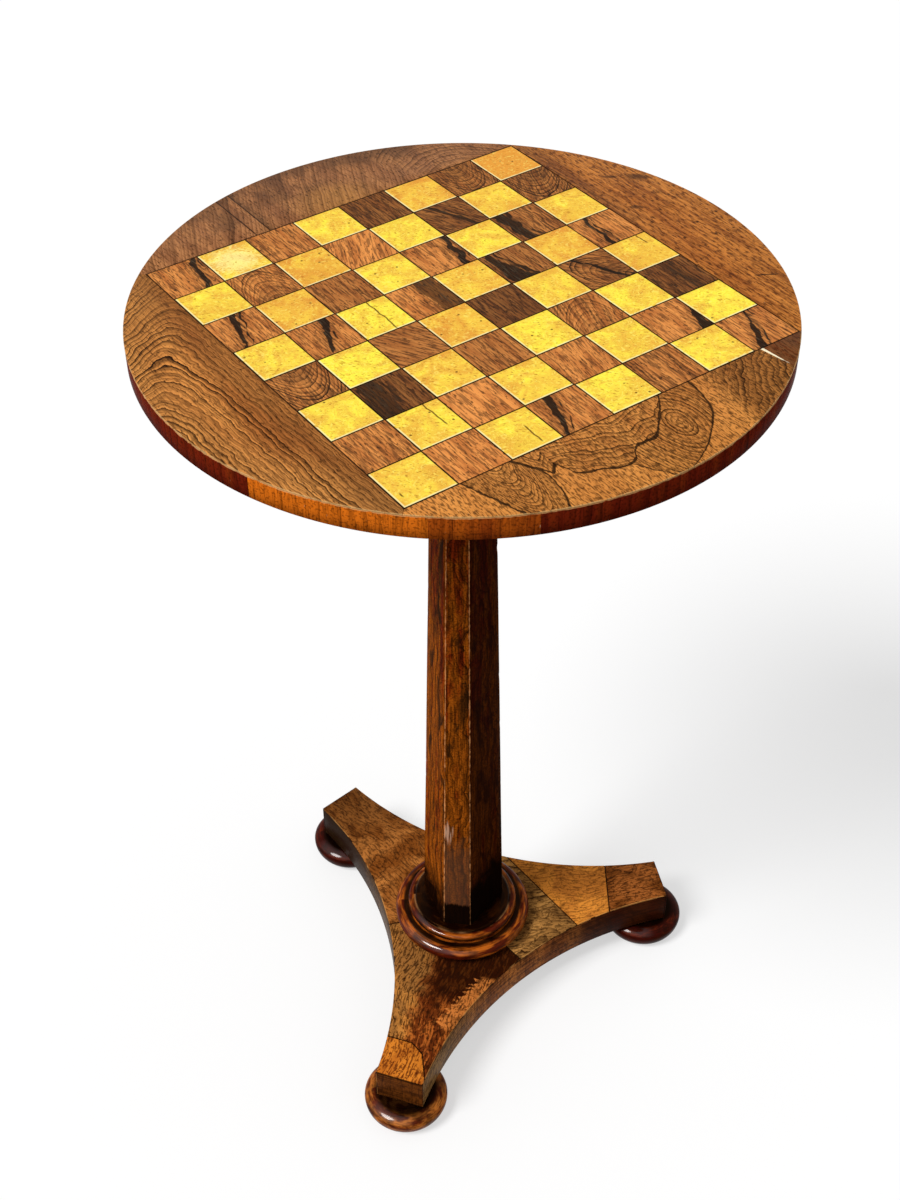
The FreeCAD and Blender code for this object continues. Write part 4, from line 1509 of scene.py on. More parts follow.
@dataclass
class InlaidBoard:
    """The 64 squares, each a thin tile of its own with an eased arris, let into the top."""

    plan: BoardPlan = PLAN
    joint: float = 0.16
    arris: float = 0.18
    unevenness: float = 0.05
    seed: int = 23
    pale: Finish = PaleFinish("golden_inlay", gloss=0.34)
    dark: Finish = DarkFinish("streaked_inlay", gloss=0.36)
    warmth: float = 0.36
    warmth_spread: float = 0.40
    warmer_squares: tuple[tuple[int, int], ...] = (
        (0, 0), (2, 2), (3, 3), (4, 4), (6, 4), (1, 5), (2, 6), (5, 7))
    warmer: float = 0.62
    orange_square: tuple[int, int] = (7, 7)
    orange: float = 1.5
    cracks: dict[tuple[int, int], tuple[float, float, float]] = field(default_factory=lambda: {
        (0, 0): (-14.0, -12.0, -5.0), (1, 1): (8.5, -8.0, 22.0), (2, 0): (7.0, -17.0, 5.0),
        (2, 4): (5.0, -22.0, 22.0), (2, 6): (17.0, 4.0, 9.0), (7, 3): (12.0, 5.0, 22.0)})
    no_crack: tuple[float, float, float] = (99.0, 0.0, 0.0)
    # The square with a painted glare, a pale spot that stands in for a highlight, and its strength.
    painted_glare: tuple[int, int] = (1, 7)
    glare_strength: float = 0.55
    figures: tuple[tuple[Figure, ...], ...] = (
        (Figure(tone=0.0, lines=0.05), Figure(streak=(-4, -17), width=(6, 2.5)),
         Figure(tone=0.15, lines=0.9), Figure(streak=(6, -12), width=(1.5, 6))),
        (Figure(lines=0.7), Figure(tone=0.0, lines=0.05), Figure(lean=-0.15),
         Figure(streak=(23, 15), width=(0, 10))),
        (Figure(tone=0.7, lines=0.8, streak=(-9, -12), width=(15, 18), ink=0.65),
         Figure(tone=0.3, lines=0.4), Figure(lean=-0.3, arch=0.6),
         Figure(tone=0.7, lines=0.9, streak=(2, 4), width=(10, 6), ink=0.4)),
        (Figure(tone=0.15, arch=1.0, lean=3.1), Figure(tone=0.4, lines=0.2, lean=0.5),
         Figure(tone=0.75, lines=0.3),
         Figure(tone=0.3, arch=0.9, lean=0.7, streak=(-8, 14), width=(3, 3))),
        (Figure(streak=(10, -6), width=(7, 2.5)),
         Figure(lines=0.2, streak=(13, 12), width=(17, 18), ink=0.7),
         Figure(tone=0.45, lines=0.6, streak=(-14, -8), width=(4, 17), ink=0.9),
         Figure(lines=0.6, streak=(-3, -9), width=(2.5, 4))),
        (Figure(lines=0.5, streak=(3, -10), width=(5, 2.5)), Figure(tone=0.35, lines=0.4),
         Figure(streak=(17, 12), width=(4, 6)),
         Figure(tone=0.35, lines=0.9, streak=(-13, -9), width=(10, 9), ink=0.9)),
        (Figure(tone=0.0, arch=0.8), Figure(tone=0.0, lean=-0.4, lines=0.2),
         Figure(tone=0.6, lines=0.8, lean=0.4, streak=(-8, 10), width=(2, 4), ink=0.8),
         Figure(tone=0.4, arch=1.0, lean=2.8)),
        (Figure(lines=0.6, streak=(16, 7), width=(4, 4)), Figure(tone=0.15, lines=0.5),
         Figure(tone=0.65, lines=0.8), Figure(tone=0.35, arch=0.9, lean=3.1)))

    def tree(self) -> bpy.types.NodeTree:
        """Builds the node tree that sets one tile on each point.

        Returns:
            The tree.
        """
        sizes = dict.fromkeys(("Side", "Thickness", "Arris", "Turn"), "Float")
        work = GeometryTree("inlaid_tiles", {"Points": "Geometry", **sizes, "Finish": "Material"}, "Tiles")
        side, thickness, arris = [work.given[label] for label in ("Side", "Thickness", "Arris")]
        under = work.add("MeshGrid", {"Vertices X": 2, "Vertices Y": 2, "Size X": side, "Size Y": side})
        flipped = work.add("FlipFaces", {"Mesh": under["Mesh"]})
        height = work.number("SUBTRACT", thickness, arris)
        body = work.add("ExtrudeMesh", {"Mesh": under["Mesh"], "Offset Scale": height})
        slope = work.add("ExtrudeMesh",
                         {"Mesh": body["Mesh"], "Selection": body["Top"], "Offset Scale": arris})
        factor = work.number("MULTIPLY_ADD", work.number("DIVIDE", arris, side), -2.0, 1.0)
        drawn_in = work.add("ScaleElements",
                            {"Geometry": slope["Mesh"], "Selection": slope["Top"], "Scale": factor})
        joined = work.add("JoinGeometry", {0: [flipped["Mesh"], drawn_in["Geometry"]]})
        closed = work.add("MergeByDistance", {"Geometry": joined[0], "Distance": 0.001 * MM})
        where = work.add("InputPosition", {})
        placed = {"Name": "place", "Geometry": closed[0], "Value": where[0]}
        stored = work.add("StoreNamedAttribute", placed, data_type="FLOAT_VECTOR")
        tiles = work.add("InstanceOnPoints", {"Points": work.given["Points"], "Instance": stored[0],
                                              "Rotation": work.upright(work.given["Turn"])})
        return work.finish(tiles[0])

    def rank_points(self, kind: Square, rank: int, draw: random.Random) -> bpy.types.Object:
        """Sets out one kind of square of one rank as points that carry each square's figure.

        Args:
            kind: The kind of square.
            rank: From 0, along the near left side of the board.
            draw: The seeded source of chance.

        Returns:
            An object whose mesh is the points only.
        """
        light = kind is Square.LIGHT
        columns = [column for column in range(self.plan.squares) if ((column + rank) % 2 == 0) == light]
        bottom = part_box("light_squares_rank_1")[0].z
        points = []
        for column in columns:
            x, y = self.plan.centre(column, rank)
            points.append((x * MM, y * MM, bottom - draw.random() * self.unevenness * MM))
        name = "%s_inlay_rank_%d" % (kind.label, rank + 1)
        mesh = bpy.data.meshes.new(name)
        mesh.from_pydata(points, [], [])
        mark(mesh, "seed", [draw.random() for column in columns])
        if light:
            self.mark_light(mesh, rank, columns, draw)
        else:
            self.mark_dark(mesh, rank)
        return new_piece(name, mesh)

    def square_warmth(self, square: tuple[int, int], draw: random.Random) -> float:
        """Gives a light square's warmth: that of the plain wood or of a warmer piece, with some chance.

        Args:
            square: The square's column and rank.
            draw: The seeded source of chance.

        Returns:
            The warmth, from 0 for lemon to 1 and more for orange.
        """
        chance = (draw.random() - 0.5) * self.warmth_spread
        if square == self.orange_square:
            return self.orange
        return chance + (self.warmer if square in self.warmer_squares else self.warmth)

    def mark_light(self, mesh: bpy.types.Mesh, rank: int, columns: Sequence[int],
                   draw: random.Random) -> None:
        """Gives each light square its warmth, the strength of its painted glare and the place of its crack,
        if it has one.

        Args:
            mesh: The points of one rank.
            rank: The number of the rank, from 0.
            columns: The column of each point.
            draw: The seeded source of chance.
        """
        squares = [(column, rank) for column in columns]
        cracks = [self.cracks.get(square, self.no_crack) for square in squares]
        mark(mesh, "warmth", [self.square_warmth(square, draw) for square in squares])
        mark(mesh, "bleach", [self.glare_strength * (square == self.painted_glare) for square in squares])
        for index, label in enumerate(("crack_at", "crack_low", "crack_high")):
            mark(mesh, label, [crack[index] for crack in cracks])

    def mark_dark(self, mesh: bpy.types.Mesh, rank: int) -> None:
        """Gives each dark square the values of its figure.

        Args:
            mesh: The points of one rank.
            rank: The number of the rank, from 0.
        """
        figures = self.figures[rank]
        for label in ("tone", "lines", "lean", "arch", "ink"):
            mark(mesh, label, [getattr(figure, label) for figure in figures])
        for index, end in enumerate(("top", "bottom")):
            mark(mesh, "streak_" + end, [figure.streak[index] for figure in figures])
            mark(mesh, "width_" + end, [figure.width[index] for figure in figures])

    def build(self) -> None:
        """Makes both kinds of square of every rank."""
        draw = random.Random(self.seed)
        tree = self.tree()
        low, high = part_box("light_squares_rank_1")
        finishes = {Square.LIGHT: self.pale, Square.DARK: self.dark}
        for rank in range(self.plan.squares):
            for kind, finish in finishes.items():
                piece = self.rank_points(kind, rank, draw)
                modifier = piece.modifiers.new("tiles", "NODES")
                modifier.node_group = tree
                set_inputs(modifier, {"Side": (self.plan.side - self.joint) * MM,
                                      "Thickness": high.z - low.z, "Arris": self.arris * MM,
                                      "Turn": self.plan.turn, "Finish": finish.material()})
                evaluate(piece)
                settle(piece, ["%s_squares_rank_%d" % (kind.node, rank + 1)])


@dataclass
class Border:
    """The four border veneers round the board and the dark wedge at its right corner."""

    arris: float = 0.45

    def finishes(self) -> dict[str, Finish]:
        """Gives the finish of each packed border node."""
        return {
            "border_veneer_near_left": ArchedBorder("border_near_left", warm="e8984c", brown="be7236"),
            "border_veneer_near_right": IslandBorder(
                "border_near_right", warm="ea9c4e", brown="cc803e", golden="da8e42", dashes=0.72),
            "border_veneer_far_right": StraightBorder(
                "border_far_right", warm="d8863c", brown="b4692d", golden="d68a40", dashes=0.5),
            "border_veneer_far_left": LeaningBorder(
                "border_far_left", warm="bc8050", brown="94603e", golden="ac7246", glow=0.3),
            "border_patch_right_corner": StraightBorder(
                "border_corner", warm="80502e", brown="5c3a22", golden="744828"),
        }

    def build(self) -> None:
        """Copies each veneer with an eased arris and gives it its figure."""
        for node, finish in self.finishes().items():
            name = node.replace("veneer", "sheet").replace("patch", "wedge")
            piece = softened_copy(name, node, self.arris)
            piece.data.materials.append(finish.material())
            settle(piece, [node])


@dataclass
class EdgeBand:
    """The band round the rim, in lengths with butt seams, each swept along its own arc."""

    seams: tuple[float, ...] = (-124.0, -94.6, -77.8, 30.0, 140.0)
    tones: tuple[float, ...] = (0.92, 0.38, 0.06, 0.25, 0.06)
    thickness: float = 1.2
    arris: float = 0.3
    gap: float = 0.15
    segment: float = 1.5
    finish: Finish = BandFinish("cross_grained_band", gloss=0.34, specular=0.001)

    def tree(self) -> bpy.types.NodeTree:
        """Builds the node tree that sweeps an eased strip along an arc.

        Returns:
            The tree.
        """
        sizes = dict.fromkeys(("Radius", "Start", "Sweep", "Middle", "Height", "Thickness", "Arris", "Tone"),
                              "Float")
        inputs = {"Blank": "Geometry", **sizes, "Steps": "Int", "Finish": "Material"}
        work = GeometryTree("edge_band", inputs, "Band")
        given = work.given
        path = work.add("CurveArc", {"Resolution": given["Steps"], "Radius": given["Radius"],
                                     "Start Angle": given["Start"], "Sweep Angle": given["Sweep"]})
        level = work.add("SetCurveNormal", {"Curve": path["Curve"]}, mode="Z_UP")
        strip = work.add("CurvePrimitiveQuadrilateral",
                         {"Width": given["Thickness"], "Height": given["Height"]})
        rounded = {"Count": 2, "Curve": strip[0], "Radius": given["Arris"]}
        eased = work.add("FilletCurve", rounded, mode="POLY")
        swept = work.add("CurveToMesh", {"Fill Caps": True, "Curve": level[0], "Profile Curve": eased[0]})
        raised = work.add("Transform", {"Geometry": swept[0], "Translation": work.upright(given["Middle"])})
        tone = {"Name": "tone", "Geometry": raised[0], "Value": given["Tone"]}
        toned = work.add("StoreNamedAttribute", tone, data_type="FLOAT")
        return work.finish(toned[0])

    def build(self) -> None:
        """Makes each length of the band."""
        tree = self.tree()
        ends = self.seams[1:] + (self.seams[0] + 360,)
        middle_radius = TOP_RADIUS - self.thickness / 2
        spare = self.gap / middle_radius
        for index, (start, end) in enumerate(zip(self.seams, ends)):
            node = "edge_band_%d" % (index + 1)
            low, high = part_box(node)
            piece = new_piece("rim_band_%d" % (index + 1), bpy.data.meshes.new(node + "_sweep"))
            modifier = piece.modifiers.new("band", "NODES")
            modifier.node_group = tree
            set_inputs(modifier, {"Radius": middle_radius * MM, "Start": math.radians(start) + spare / 2,
                                  "Sweep": math.radians(end - start) - spare,
                                  "Middle": (low.z + high.z) / 2, "Height": high.z - low.z,
                                  "Thickness": self.thickness * MM, "Arris": self.arris * MM,
                                  "Tone": self.tones[index], "Finish": self.finish.material(),
                                  "Steps": round((end - start) / self.segment) + 1})
            evaluate(piece)
            close_outward(piece.data)
            smooth(piece.data, 50.0)
            settle(piece, [node])


def close_outward(mesh: bpy.types.Mesh) -> None:
    """Merges doubles of a closed mesh and turns its faces outwards.

    Args:
        mesh: The mesh.
    """
    work = bmesh.new()
    work.from_mesh(mesh)
    bmesh.ops.remove_doubles(work, verts=work.verts, dist=0.0005 * MM)
    bmesh.ops.recalc_face_normals(work, faces=work.faces)
    work.to_mesh(mesh)
    work.free()


@dataclass
class Column:
    """Six tapering veneers, three narrow and three wide, with worn arrises between them."""

    turn: float = math.radians(-97.2)
    foot_radius: float = 37.5
    head_radius: float = 23.4
    narrow_half_angle: float = math.radians(19.2)
    veneer: float = 1.2
    rows: int = 200
    columns: int = 6
    sides: int = 6
    wear: float = 0.45
    chip: float = 1.5
    seed: float = 4.7
    seed_step: float = 31.0
    # Tone of each face from the near one round by the right; the right wide face's 0.80 is painted shade.
    tones: tuple[float, ...] = (0.10, 0.80, 0.15, 0.30, 0.20, 0.0)
    finish: Finish = ColumnFinish("column_veneer", gloss=0.40, specular=0.001)

    def corner(self, index: int, share: float, inset: float) -> Vector:
        """Gives a corner of the column's outline, where a narrow and a wide face cross.

        Args:
            index: Number of the corner, from 0 at the near face's left arris.
            share: Height as a share of the column's length.
            inset: Distance that both faces are pulled in.

        Returns:
            The corner in millimetres, without its height.
        """
        radius = self.foot_radius + (self.head_radius - self.foot_radius) * share
        face, side = divmod(index % self.sides, 2)
        sixth = math.radians(60)
        narrow_distance = radius * math.cos(self.narrow_half_angle) - inset
        wide_distance = radius * math.cos(sixth - self.narrow_half_angle) - inset
        first = self.turn + 2 * sixth * face
        second = first + (2 * side - 1) * sixth
        crossing = math.sin(second - first)
        x = (narrow_distance * math.sin(second) - wide_distance * math.sin(first)) / crossing
        y = (wide_distance * math.cos(first) - narrow_distance * math.cos(second)) / crossing
        return Vector((x, y))

    def worn(self, index: int, height: float) -> float:
        """Gives how much an arris has lost at a height, in millimetres.

        Args:
            index: Number of the arris, from 0 at the near face's left one.
            height: Height above the floor, in millimetres.

        Returns:
            The loss.
        """
        slow = noise.noise(Vector((height * 0.012, index * 7.3, self.seed)))
        quick = noise.noise(Vector((height * 0.11, index * 3.1, self.seed)))
        return self.wear * (1 + 0.6 * slow) + self.chip * max(0.0, quick - 0.38)

    def ring(self, index: int, share: float, height: float) -> tuple[list[Vector], list[float], float]:
        """Gives one cross-section of a veneer.

        Args:
            index: Number of the face, from 0 at the near face.
            share: Height as a share of the column's length.
            height: Height in millimetres.

        Returns:
            The section's points, each one's distance from the first arris, and the face's width.
        """
        start, end = [self.corner(number, share, 0.0) for number in (index, index + 1)]
        inner_start, inner_end = [self.corner(number, share, self.veneer) for number in (index, index + 1)]
        width = (end - start).length
        across = (end - start).normalized()
        first, last = [], []
        for corner, inner, inward, bucket, number in ((start, inner_start, across, first, index),
                                                      (end, inner_end, -across, last, index + 1)):
            mitre = (inner - corner).normalized()
            loss = self.worn(number % self.sides, height)
            bucket.append(corner + mitre * loss)
            bucket.append(corner + inward * (loss / inward.dot(mitre)))
        points = [first[0], first[1]]
        distances = [0.0, (first[1] - start).length]
        reach = (last[1] - first[1]).length
        for step in range(1, self.columns):
            points.append(first[1] + across * (reach * step / self.columns))
            distances.append(distances[1] + reach * step / self.columns)
        points += [last[1], last[0], inner_end, inner_start]
        distances += [width - (end - last[1]).length, width, width, 0.0]
        return points, distances, width

    def build(self) -> None:
        """Makes the six veneers."""
        for index in range(self.sides):
            node = "column_%s_veneer_%d" % ("wide" if index % 2 else "narrow", index // 2 + 1)
            low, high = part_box(node)
            vertices, near_edge, far_edge, grain = [], [], [], []
            for row in range(self.rows + 1):
                share = row / self.rows
                height = (low.z + (high.z - low.z) * share) / MM
                points, distances, width = self.ring(index, share, height)
                for point, distance in zip(points, distances):
                    vertices.append((point.x * MM, point.y * MM, height * MM))
                    near_edge.append(distance)
                    far_edge.append(width - distance)
                    grain.extend((distance - width / 2, height, self.seed_step * index))
            count = len(points)
            faces = [[count - 1 - step for step in range(count)],
                     [self.rows * count + step for step in range(count)]]
            for row in range(self.rows):
                for step in range(count):
                    after = (step + 1) % count
                    corner, beside = row * count + step, row * count + after
                    faces.append([corner, beside, beside + count, corner + count])
            mesh = bpy.data.meshes.new(node + "_sheet")
            mesh.from_pydata(vertices, [], faces)
            mark(mesh, "near_edge", near_edge)
            mark(mesh, "far_edge", far_edge)
            mark(mesh, "tone", [self.tones[index]] * len(vertices))
            # The near face carries the painted sheen and the pale spot.
            mark(mesh, "bleach", [float(index == 0)] * len(vertices))
            layer = mesh.attributes.new("grain", "FLOAT_VECTOR", "POINT")
            layer.data.foreach_set("vector", grain)
            close_outward(mesh)
            smooth(mesh)
            mesh.materials.append(self.finish.material())
            piece = new_piece(node.replace("veneer", "sheet"), mesh)
            settle(piece, [node])


def arc_points(centre: Pair, radii: Pair, start: float, end: float, steps: int) -> list[Pair]:
    """Gives points on a quarter, half or other part of an ellipse in a turned profile.

    Args:
        centre: Radius and height of the ellipse's middle.
        radii: Half of the ellipse's width and height.
        start: First angle in degrees, from outwards towards up.
        end: Last angle in degrees.
        steps: Number of straight pieces.

    Returns:
        The points as radius and height.
    """
    points = []
    for step in range(steps + 1):
        angle = math.radians(start + (end - start) * step / steps)
        points.append((centre[0] + radii[0] * math.cos(angle), centre[1] + radii[1] * math.sin(angle)))
    return points


def lathe(name: str, profile: Sequence[Pair], axis: Pair, segments: int) -> bpy.types.Object:
    """Turns a closed profile about an upright axis.

    Args:
        name: The piece's name.
        profile: Radius and height of each point in millimetres, round the section.
        axis: Where the axis stands.
        segments: Number of flats round the piece.

    Returns:
        The new piece.
    """
    vertices, faces = [], []
    count = len(profile)
    for segment in range(segments):
        angle = 2 * math.pi * segment / segments
        for radius, height in profile:
            x, y = axis[0] + radius * math.cos(angle), axis[1] + radius * math.sin(angle)
            vertices.append((x * MM, y * MM, height * MM))
    for segment in range(segments):
        first, second = segment * count, (segment + 1) % segments * count
        for step in range(count):
            after = (step + 1) % count
            faces.append([first + step, second + step, second + after, first + after])
    mesh = bpy.data.meshes.new(name)
    mesh.from_pydata(vertices, [], faces)
    close_outward(mesh)
    mesh.validate()
    smooth(mesh, 40.0)
    return new_piece(name, mesh)


@dataclass
class TurnedParts:
    """The two rings of the collar and the three bun feet, turned on a lathe."""

    bore: float = 21.5
    upper_bead: float = 3.5
    lower_bead: float = 6.5
    quirk: float = 1.0
    seat_rise: float = 2.0
    seat_ledge: float = 2.8
    ease: float = 0.5
    foot_hole: float = 2.15
    foot_base: float = 25.0
    foot_neck: float = 22.0
    foot_neck_height: float = 2.5
    belly_share: float = 0.56
    steps: int = 20
    segments: int = 160
    collar_finish: Finish = TurnedFinish(
        "rosewood_collar", gloss=0.22, specular=0.06, sheen="ffa858", coat=0.85, coat_roughness=0.08,
        red="521606", orange="b85e18", share=0.42)
    near_foot_finish: Finish = FootFinish(
        "rosewood_foot", gloss=0.32, specular=0.06, sheen="ffa858", coat=0.70, coat_roughness=0.14,
        red="5a1e09", orange="b46828", share=0.40)
    far_foot_finish: Finish = FootFinish(
        "rosewood_foot", gloss=0.26, specular=0.04, sheen="ffa858", coat=0.60, coat_roughness=0.10,
        red="380a06", orange="5e1e0a", share=0.48)

    def lower_ring(self) -> None:
        """Makes the large half-round bead on its plain fillet."""
        low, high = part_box("collar_lower_ring")
        centre = high.x / MM - self.lower_bead
        bottom, top = low.z / MM, high.z / MM
        bead = (self.lower_bead, self.lower_bead)
        profile = [(self.bore, bottom), (centre, bottom), (centre, top - 2 * self.lower_bead)]
        profile += arc_points((centre, top - self.lower_bead), bead, -88, 90, self.steps)
        profile += [(self.bore, top)]
        self.finish_ring("collar_lower_bead", "collar_lower_ring", profile)

    def upper_ring(self) -> None:
        """Makes the small bead, and the rounded seat that the column stands on."""
        low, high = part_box("collar_upper_ring")
        centre = high.x / MM - self.upper_bead
        bottom, top = low.z / MM, high.z / MM
        bead = (self.upper_bead, self.upper_bead)
        bead_middle = bottom + self.quirk + self.upper_bead
        seat = centre - self.seat_ledge - self.seat_rise
        profile = [(self.bore, bottom), (centre, bottom), (centre, bottom + self.quirk)]
        profile += arc_points((centre, bead_middle), bead, -86, 90, self.steps)
        profile += arc_points((seat, top - self.seat_rise), (self.seat_rise, self.seat_rise), 0, 90, 8)
        profile += [(self.bore, top)]
        self.finish_ring("collar_upper_bead", "collar_upper_ring", profile)

    def finish_ring(self, name: str, node: str, profile: Sequence[Pair]) -> None:
        """Turns one ring and fixes it in place of its solid.

        Args:
            name: The new piece's name.
            node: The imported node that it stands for.
            profile: Radius and height of each point, round the section.
        """
        piece = lathe(name, profile, (0.0, 0.0), self.segments)
        piece.data.materials.append(self.collar_finish.material())
        settle(piece, [node])

    def foot(self, arm: Arm) -> None:
        """Makes a flattened bun with a flat base and a short neck.

        Args:
            arm: The arm that it stands under.
        """
        node = "bun_foot_" + arm.label
        low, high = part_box(node)
        axis = ((low.x + high.x) / 2 / MM, (low.y + high.y) / 2 / MM)
        reach = (high.x - low.x) / 2 / MM
        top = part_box("base_arm_" + arm.label)[0].z / MM
        belly = top * self.belly_share
        under = (reach - self.foot_base, belly - self.ease * 0.4)
        over = (reach - self.foot_neck, top - self.foot_neck_height - belly)
        profile = [(self.foot_hole, 0.0), (self.foot_base - self.ease, 0.0)]
        profile += arc_points((self.foot_base, belly), under, -88, 0, self.steps)
        profile += arc_points((self.foot_neck, belly), over, 4, 90, self.steps)
        profile += [(self.foot_neck, top), (self.foot_hole, top)]
        piece = lathe("turned_foot_" + arm.label, profile, axis, self.segments)
        finish = self.near_foot_finish if arm is Arm.NEAR else self.far_foot_finish
        own = replace(finish, name=finish.name + "_" + arm.label, axis=axis)
        piece.data.materials.append(own.material())
        settle(piece, [node])

    def build(self) -> None:
        """Makes the rings and the feet."""
        self.lower_ring()
        self.upper_ring()
        for arm in Arm:
            self.foot(arm)


def mark_seams(pieces: Sequence[bpy.types.Object], reach: float) -> None:
    """Tells the arrises that meet another piece, which show as dark seams, from the free ones.

    Args:
        pieces: The pieces, each with its "arris" faces marked.
        reach: How near the middles of two arrises lie at a seam, in millimetres.
    """
    middles = []
    for piece in pieces:
        arrises = piece.data.attributes["arris"].data
        faces = [face for face in piece.data.polygons if arrises[face.index].value]
        middles += [(piece.name, face.center.copy()) for face in faces]
    for piece in pieces:
        arrises = piece.data.attributes["arris"].data
        seams = piece.data.attributes.new("seam", "FLOAT", "FACE").data
        for face in piece.data.polygons:
            if not arrises[face.index].value:
                continue
            others = [middle for name, middle in middles if name != piece.name]
            if min((middle - face.center).length for middle in others) < reach * MM:
                seams[face.index].value = 1.0
                arrises[face.index].value = 0.0


@dataclass
class Base:
    """The veneers of the three-armed base: tops with seams and a patch, concave sides and square ends."""

    top_ease: float = 0.6
    side_ease: float = 0.35
    seam_reach: float = 1.2

    def finishes(self) -> dict[str, Finish]:
        """Gives the finish of each packed veneer of the base."""
        near, right, left = [arm.turn for arm in Arm]
        return {
            "base_top_veneer_near": NearArmFinish(
                "base_top_near", turn=near, light="d68638", shade="a0602a", seed=3, grit=0.75),
            "base_top_patch_near": BaseFinish(
                "base_patch_near", turn=near, light="dc822a", shade="b4601c", ink="561c08", inkiness=0.3,
                seed=11, grit=0.8),
            "base_top_veneer_left": BaseFinish(
                "base_top_left", turn=left, light="b87234", shade="804618", seed=17, grit=0.6,
                tip_shade=0.6),
            "base_top_veneer_right_inner": BaseFinish(
                "base_top_right_inner", turn=right, light="c28a48", shade="8c6030", inkiness=1.0,
                sharpness=3.2, seed=23, grit=0.65),
            "base_top_veneer_right_middle": BaseFinish(
                "base_top_right_middle", turn=right, light="e28e36", shade="be722c", inkiness=0.3, seed=29),
            "base_top_veneer_right_end": BaseFinish(
                "base_top_right_end", turn=right, light="a8602a", shade="743e16", inkiness=0.9, spacing=6.0,
                seed=31, grit=0.65),
            "base_side_veneer_near_right": SideFinish(
                "base_side_near_right", turn=right, light="cc7c3c", shade="9c582a", inkiness=0.3, seed=37,
                tip="2c0502", tip_reach=(50.0, 130.0), other="a07a48"),
            "base_side_veneer_near_left": SideFinish(
                "base_side_near_left", turn=left, light="624424", shade="402812", inkiness=0.3, seed=41,
                tip="20140a", other="644628"),
            "base_side_veneer_far": SideFinish(
                "base_side_far", turn=left, light="6f4a20", shade="472a12", seed=43),
            "base_end_veneer_near": SideFinish(
                "base_end_near", turn=near, light="7a4218", shade="522810", tip="6a3812", seed=47),
            "base_end_veneer_right": SideFinish(
                "base_end_right", turn=right, light="643818", shade="3e2010", seed=53),
            "base_end_veneer_left": SideFinish(
                "base_end_left", turn=left, light="5c3012", shade="32160a", seed=59),
        }

    def build(self) -> None:
        """Copies each veneer with an eased arris, gives it its figure and darkens the seams."""
        pieces = {}
        for node, finish in self.finishes().items():
            ease = self.top_ease if "top" in node else self.side_ease
            name = node.replace("veneer", "sheet").replace("patch", "inset")
            pieces[node] = softened_copy(name, node, ease)
            pieces[node].data.materials.append(finish.material())
        mark_seams(list(pieces.values()), self.seam_reach)
        for node, piece in pieces.items():
            settle(piece, [node])


@dataclass
class HiddenPieces:
    """The ground boards, cores, block, wedges, tongues and screws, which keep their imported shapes."""

    ground: Finish = BareFinish("aged_boards", gloss=0.62, specular=0.2, turn=PLAN.turn)
    arms: Finish = BareFinish("arm_ground", gloss=0.6, specular=0.2, light="a87a4c", dark="6b4627")
    bearer: Finish = BareFinish("stained_block", gloss=0.55, specular=0.25, light="85552e", dark="4e2e18",
                                turn=PLAN.turn)
    wedge: Finish = BareFinish("pale_wedges", gloss=0.6, specular=0.2, light="d0a871", dark="a67c49")
    steel: Finish = SteelFinish("dulled_steel", gloss=0.42, specular=0.5, sheen="ffffff", metallic=0.9)

    def build(self) -> None:
        """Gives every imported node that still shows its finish."""
        by_start = {"top_board": self.ground, "column_core": self.arms, "base_arm": self.arms,
                    "bearer_block": self.bearer, "tenon_wedges": self.wedge, "mitre_tongues": self.wedge,
                    "block_screws": self.steel}
        for node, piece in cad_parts.items():
            for start, finish in by_start.items():
                if node.startswith(start):
                    piece.data.materials.clear()
                    piece.data.materials.append(finish.material())
                    LOG.info("%s: packed shape, %s", node, finish.name)


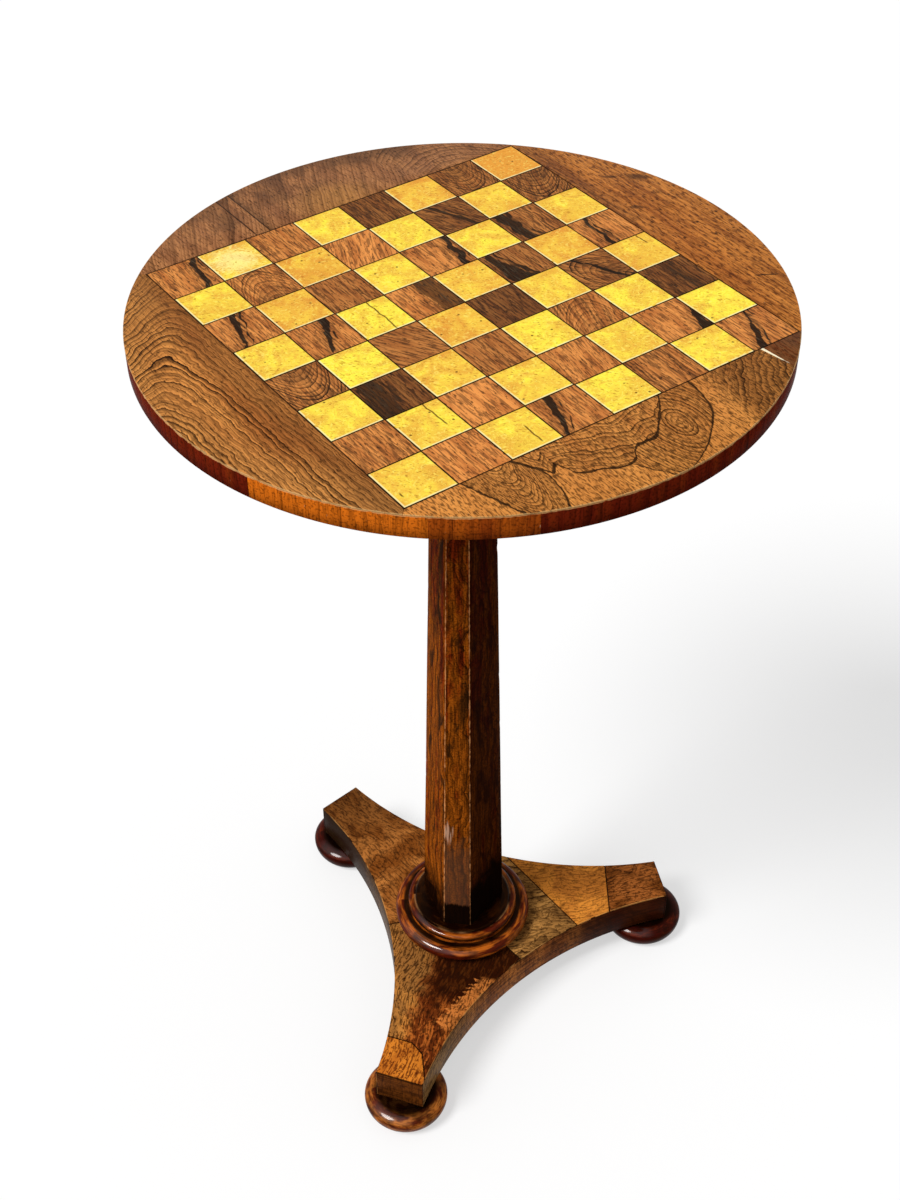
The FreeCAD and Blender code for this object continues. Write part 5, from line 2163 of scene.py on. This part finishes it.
@dataclass
class Studio:
    """A pale floor, soft daylight and the camera that sees the table as the photograph does."""

    camera_place: tuple[float, float, float] = (0.00788, -1.01413, 1.37234)
    camera_forward: tuple[float, float, float] = (-0.012655, 0.740652, -0.671770)
    camera_roll: float = -0.007
    lens: float = 52.34
    sensor: float = 36.0
    floor_size: float = 14.0
    floor_white: float = 0.95
    floor_glow: float = 0.55
    sky: float = 0.45
    white: float = 1.0
    bounce: float = 0.40
    daylight: float = 2.55
    daylight_angle: float = math.radians(22)
    lamp_place: tuple[float, float, float] = (-1.7, -1.1, 2.6)

    def camera(self) -> None:
        """Sets up the camera from its place, direction and roll."""
        data = bpy.data.cameras.new("camera")
        data.lens = self.lens
        data.sensor_width = self.sensor
        made = bpy.data.objects.new("camera", data)
        bpy.context.scene.collection.objects.link(made)
        forward = Vector(self.camera_forward).normalized()
        right = forward.cross(Vector((0, 0, 1))).normalized()
        upward = right.cross(forward)
        axes = Matrix((right, upward, -forward)).transposed() @ Matrix.Rotation(self.camera_roll, 3, "Z")
        made.matrix_world = Matrix.Translation(self.camera_place) @ axes.to_4x4()
        bpy.context.scene.camera = made

    def lamp(self) -> None:
        """Adds wide daylight from the left, which faces the table."""
        daylight = bpy.data.lights.new("daylight", "SUN")
        daylight.energy = self.daylight
        daylight.angle = self.daylight_angle
        place = Vector(self.lamp_place)
        made = bpy.data.objects.new("daylight", daylight)
        made.location = place
        made.rotation_mode = "QUATERNION"
        made.rotation_quaternion = (-place).to_track_quat("-Z", "Y")
        bpy.context.scene.collection.objects.link(made)

    def seen_directly(self, graph: Graph) -> Signal:
        """Tells the rays that show the background: straight from the camera, mirrored or through glass.

        Args:
            graph: The material's graph.

        Returns:
            One for those rays.
        """
        camera, mirrored, through = [graph.signal("LightPath", {}, "Is %s Ray" % kind)
                                     for kind in ("Camera", "Glossy", "Transmission")]
        return camera.higher(mirrored).higher(through)

    def floor(self) -> None:
        """Lays a floor that looks white, keeps a soft shadow and throws little light up at the table."""
        half = self.floor_size / 2
        corners = [(-half, -half, 0), (half, -half, 0), (half, half, 0), (-half, half, 0)]
        mesh = bpy.data.meshes.new("floor")
        mesh.from_pydata(corners, [], [[0, 1, 2, 3]])
        made = new_piece("floor", mesh)
        material = bpy.data.materials.new("floor_white")
        material.use_nodes = True
        material.node_tree.nodes.clear()
        graph = Graph(material.node_tree)
        seen = self.seen_directly(graph)
        bounced, shown = [(value,) * 3 + (1.0,) for value in (self.bounce, self.floor_white)]
        matt = graph.signal("BsdfDiffuse", {"Color": graph.mix(seen, bounced, shown)})
        glow = graph.signal("Emission", {})
        blend = graph.signal("MixShader", {0: seen * self.floor_glow, 1: matt, 2: glow})
        graph.node("ShaderNodeOutputMaterial", {"Surface": blend})
        mesh.materials.append(material)

    def world(self) -> None:
        """Lights the room evenly and shows white where the camera sees past the floor."""
        world = bpy.data.worlds.new("studio")
        bpy.context.scene.world = world
        world.use_nodes = True
        world.node_tree.nodes.clear()
        graph = Graph(world.node_tree)
        strength = self.seen_directly(graph) * (self.white - self.sky) + self.sky
        light = graph.signal("Background", {"Color": "ffffff", "Strength": strength})
        graph.node("ShaderNodeOutputWorld", {"Surface": light})

    def build(self) -> None:
        """Sets up the floor, the light and the camera."""
        self.floor()
        self.world()
        self.lamp()
        self.camera()
        bpy.context.scene.view_settings.view_transform = "Standard"


def write_sizes() -> None:
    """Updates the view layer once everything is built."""
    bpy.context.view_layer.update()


def main() -> None:
    """Builds the table's looks from the top down, then the studio."""
    logging.basicConfig(level=logging.INFO, format="%(name)s %(message)s")
    for assembly in (InlaidBoard, Border, EdgeBand, Column, TurnedParts, Base, HiddenPieces, Studio):
        assembly().build()
    write_sizes()


if __name__ == "__main__":
    main()
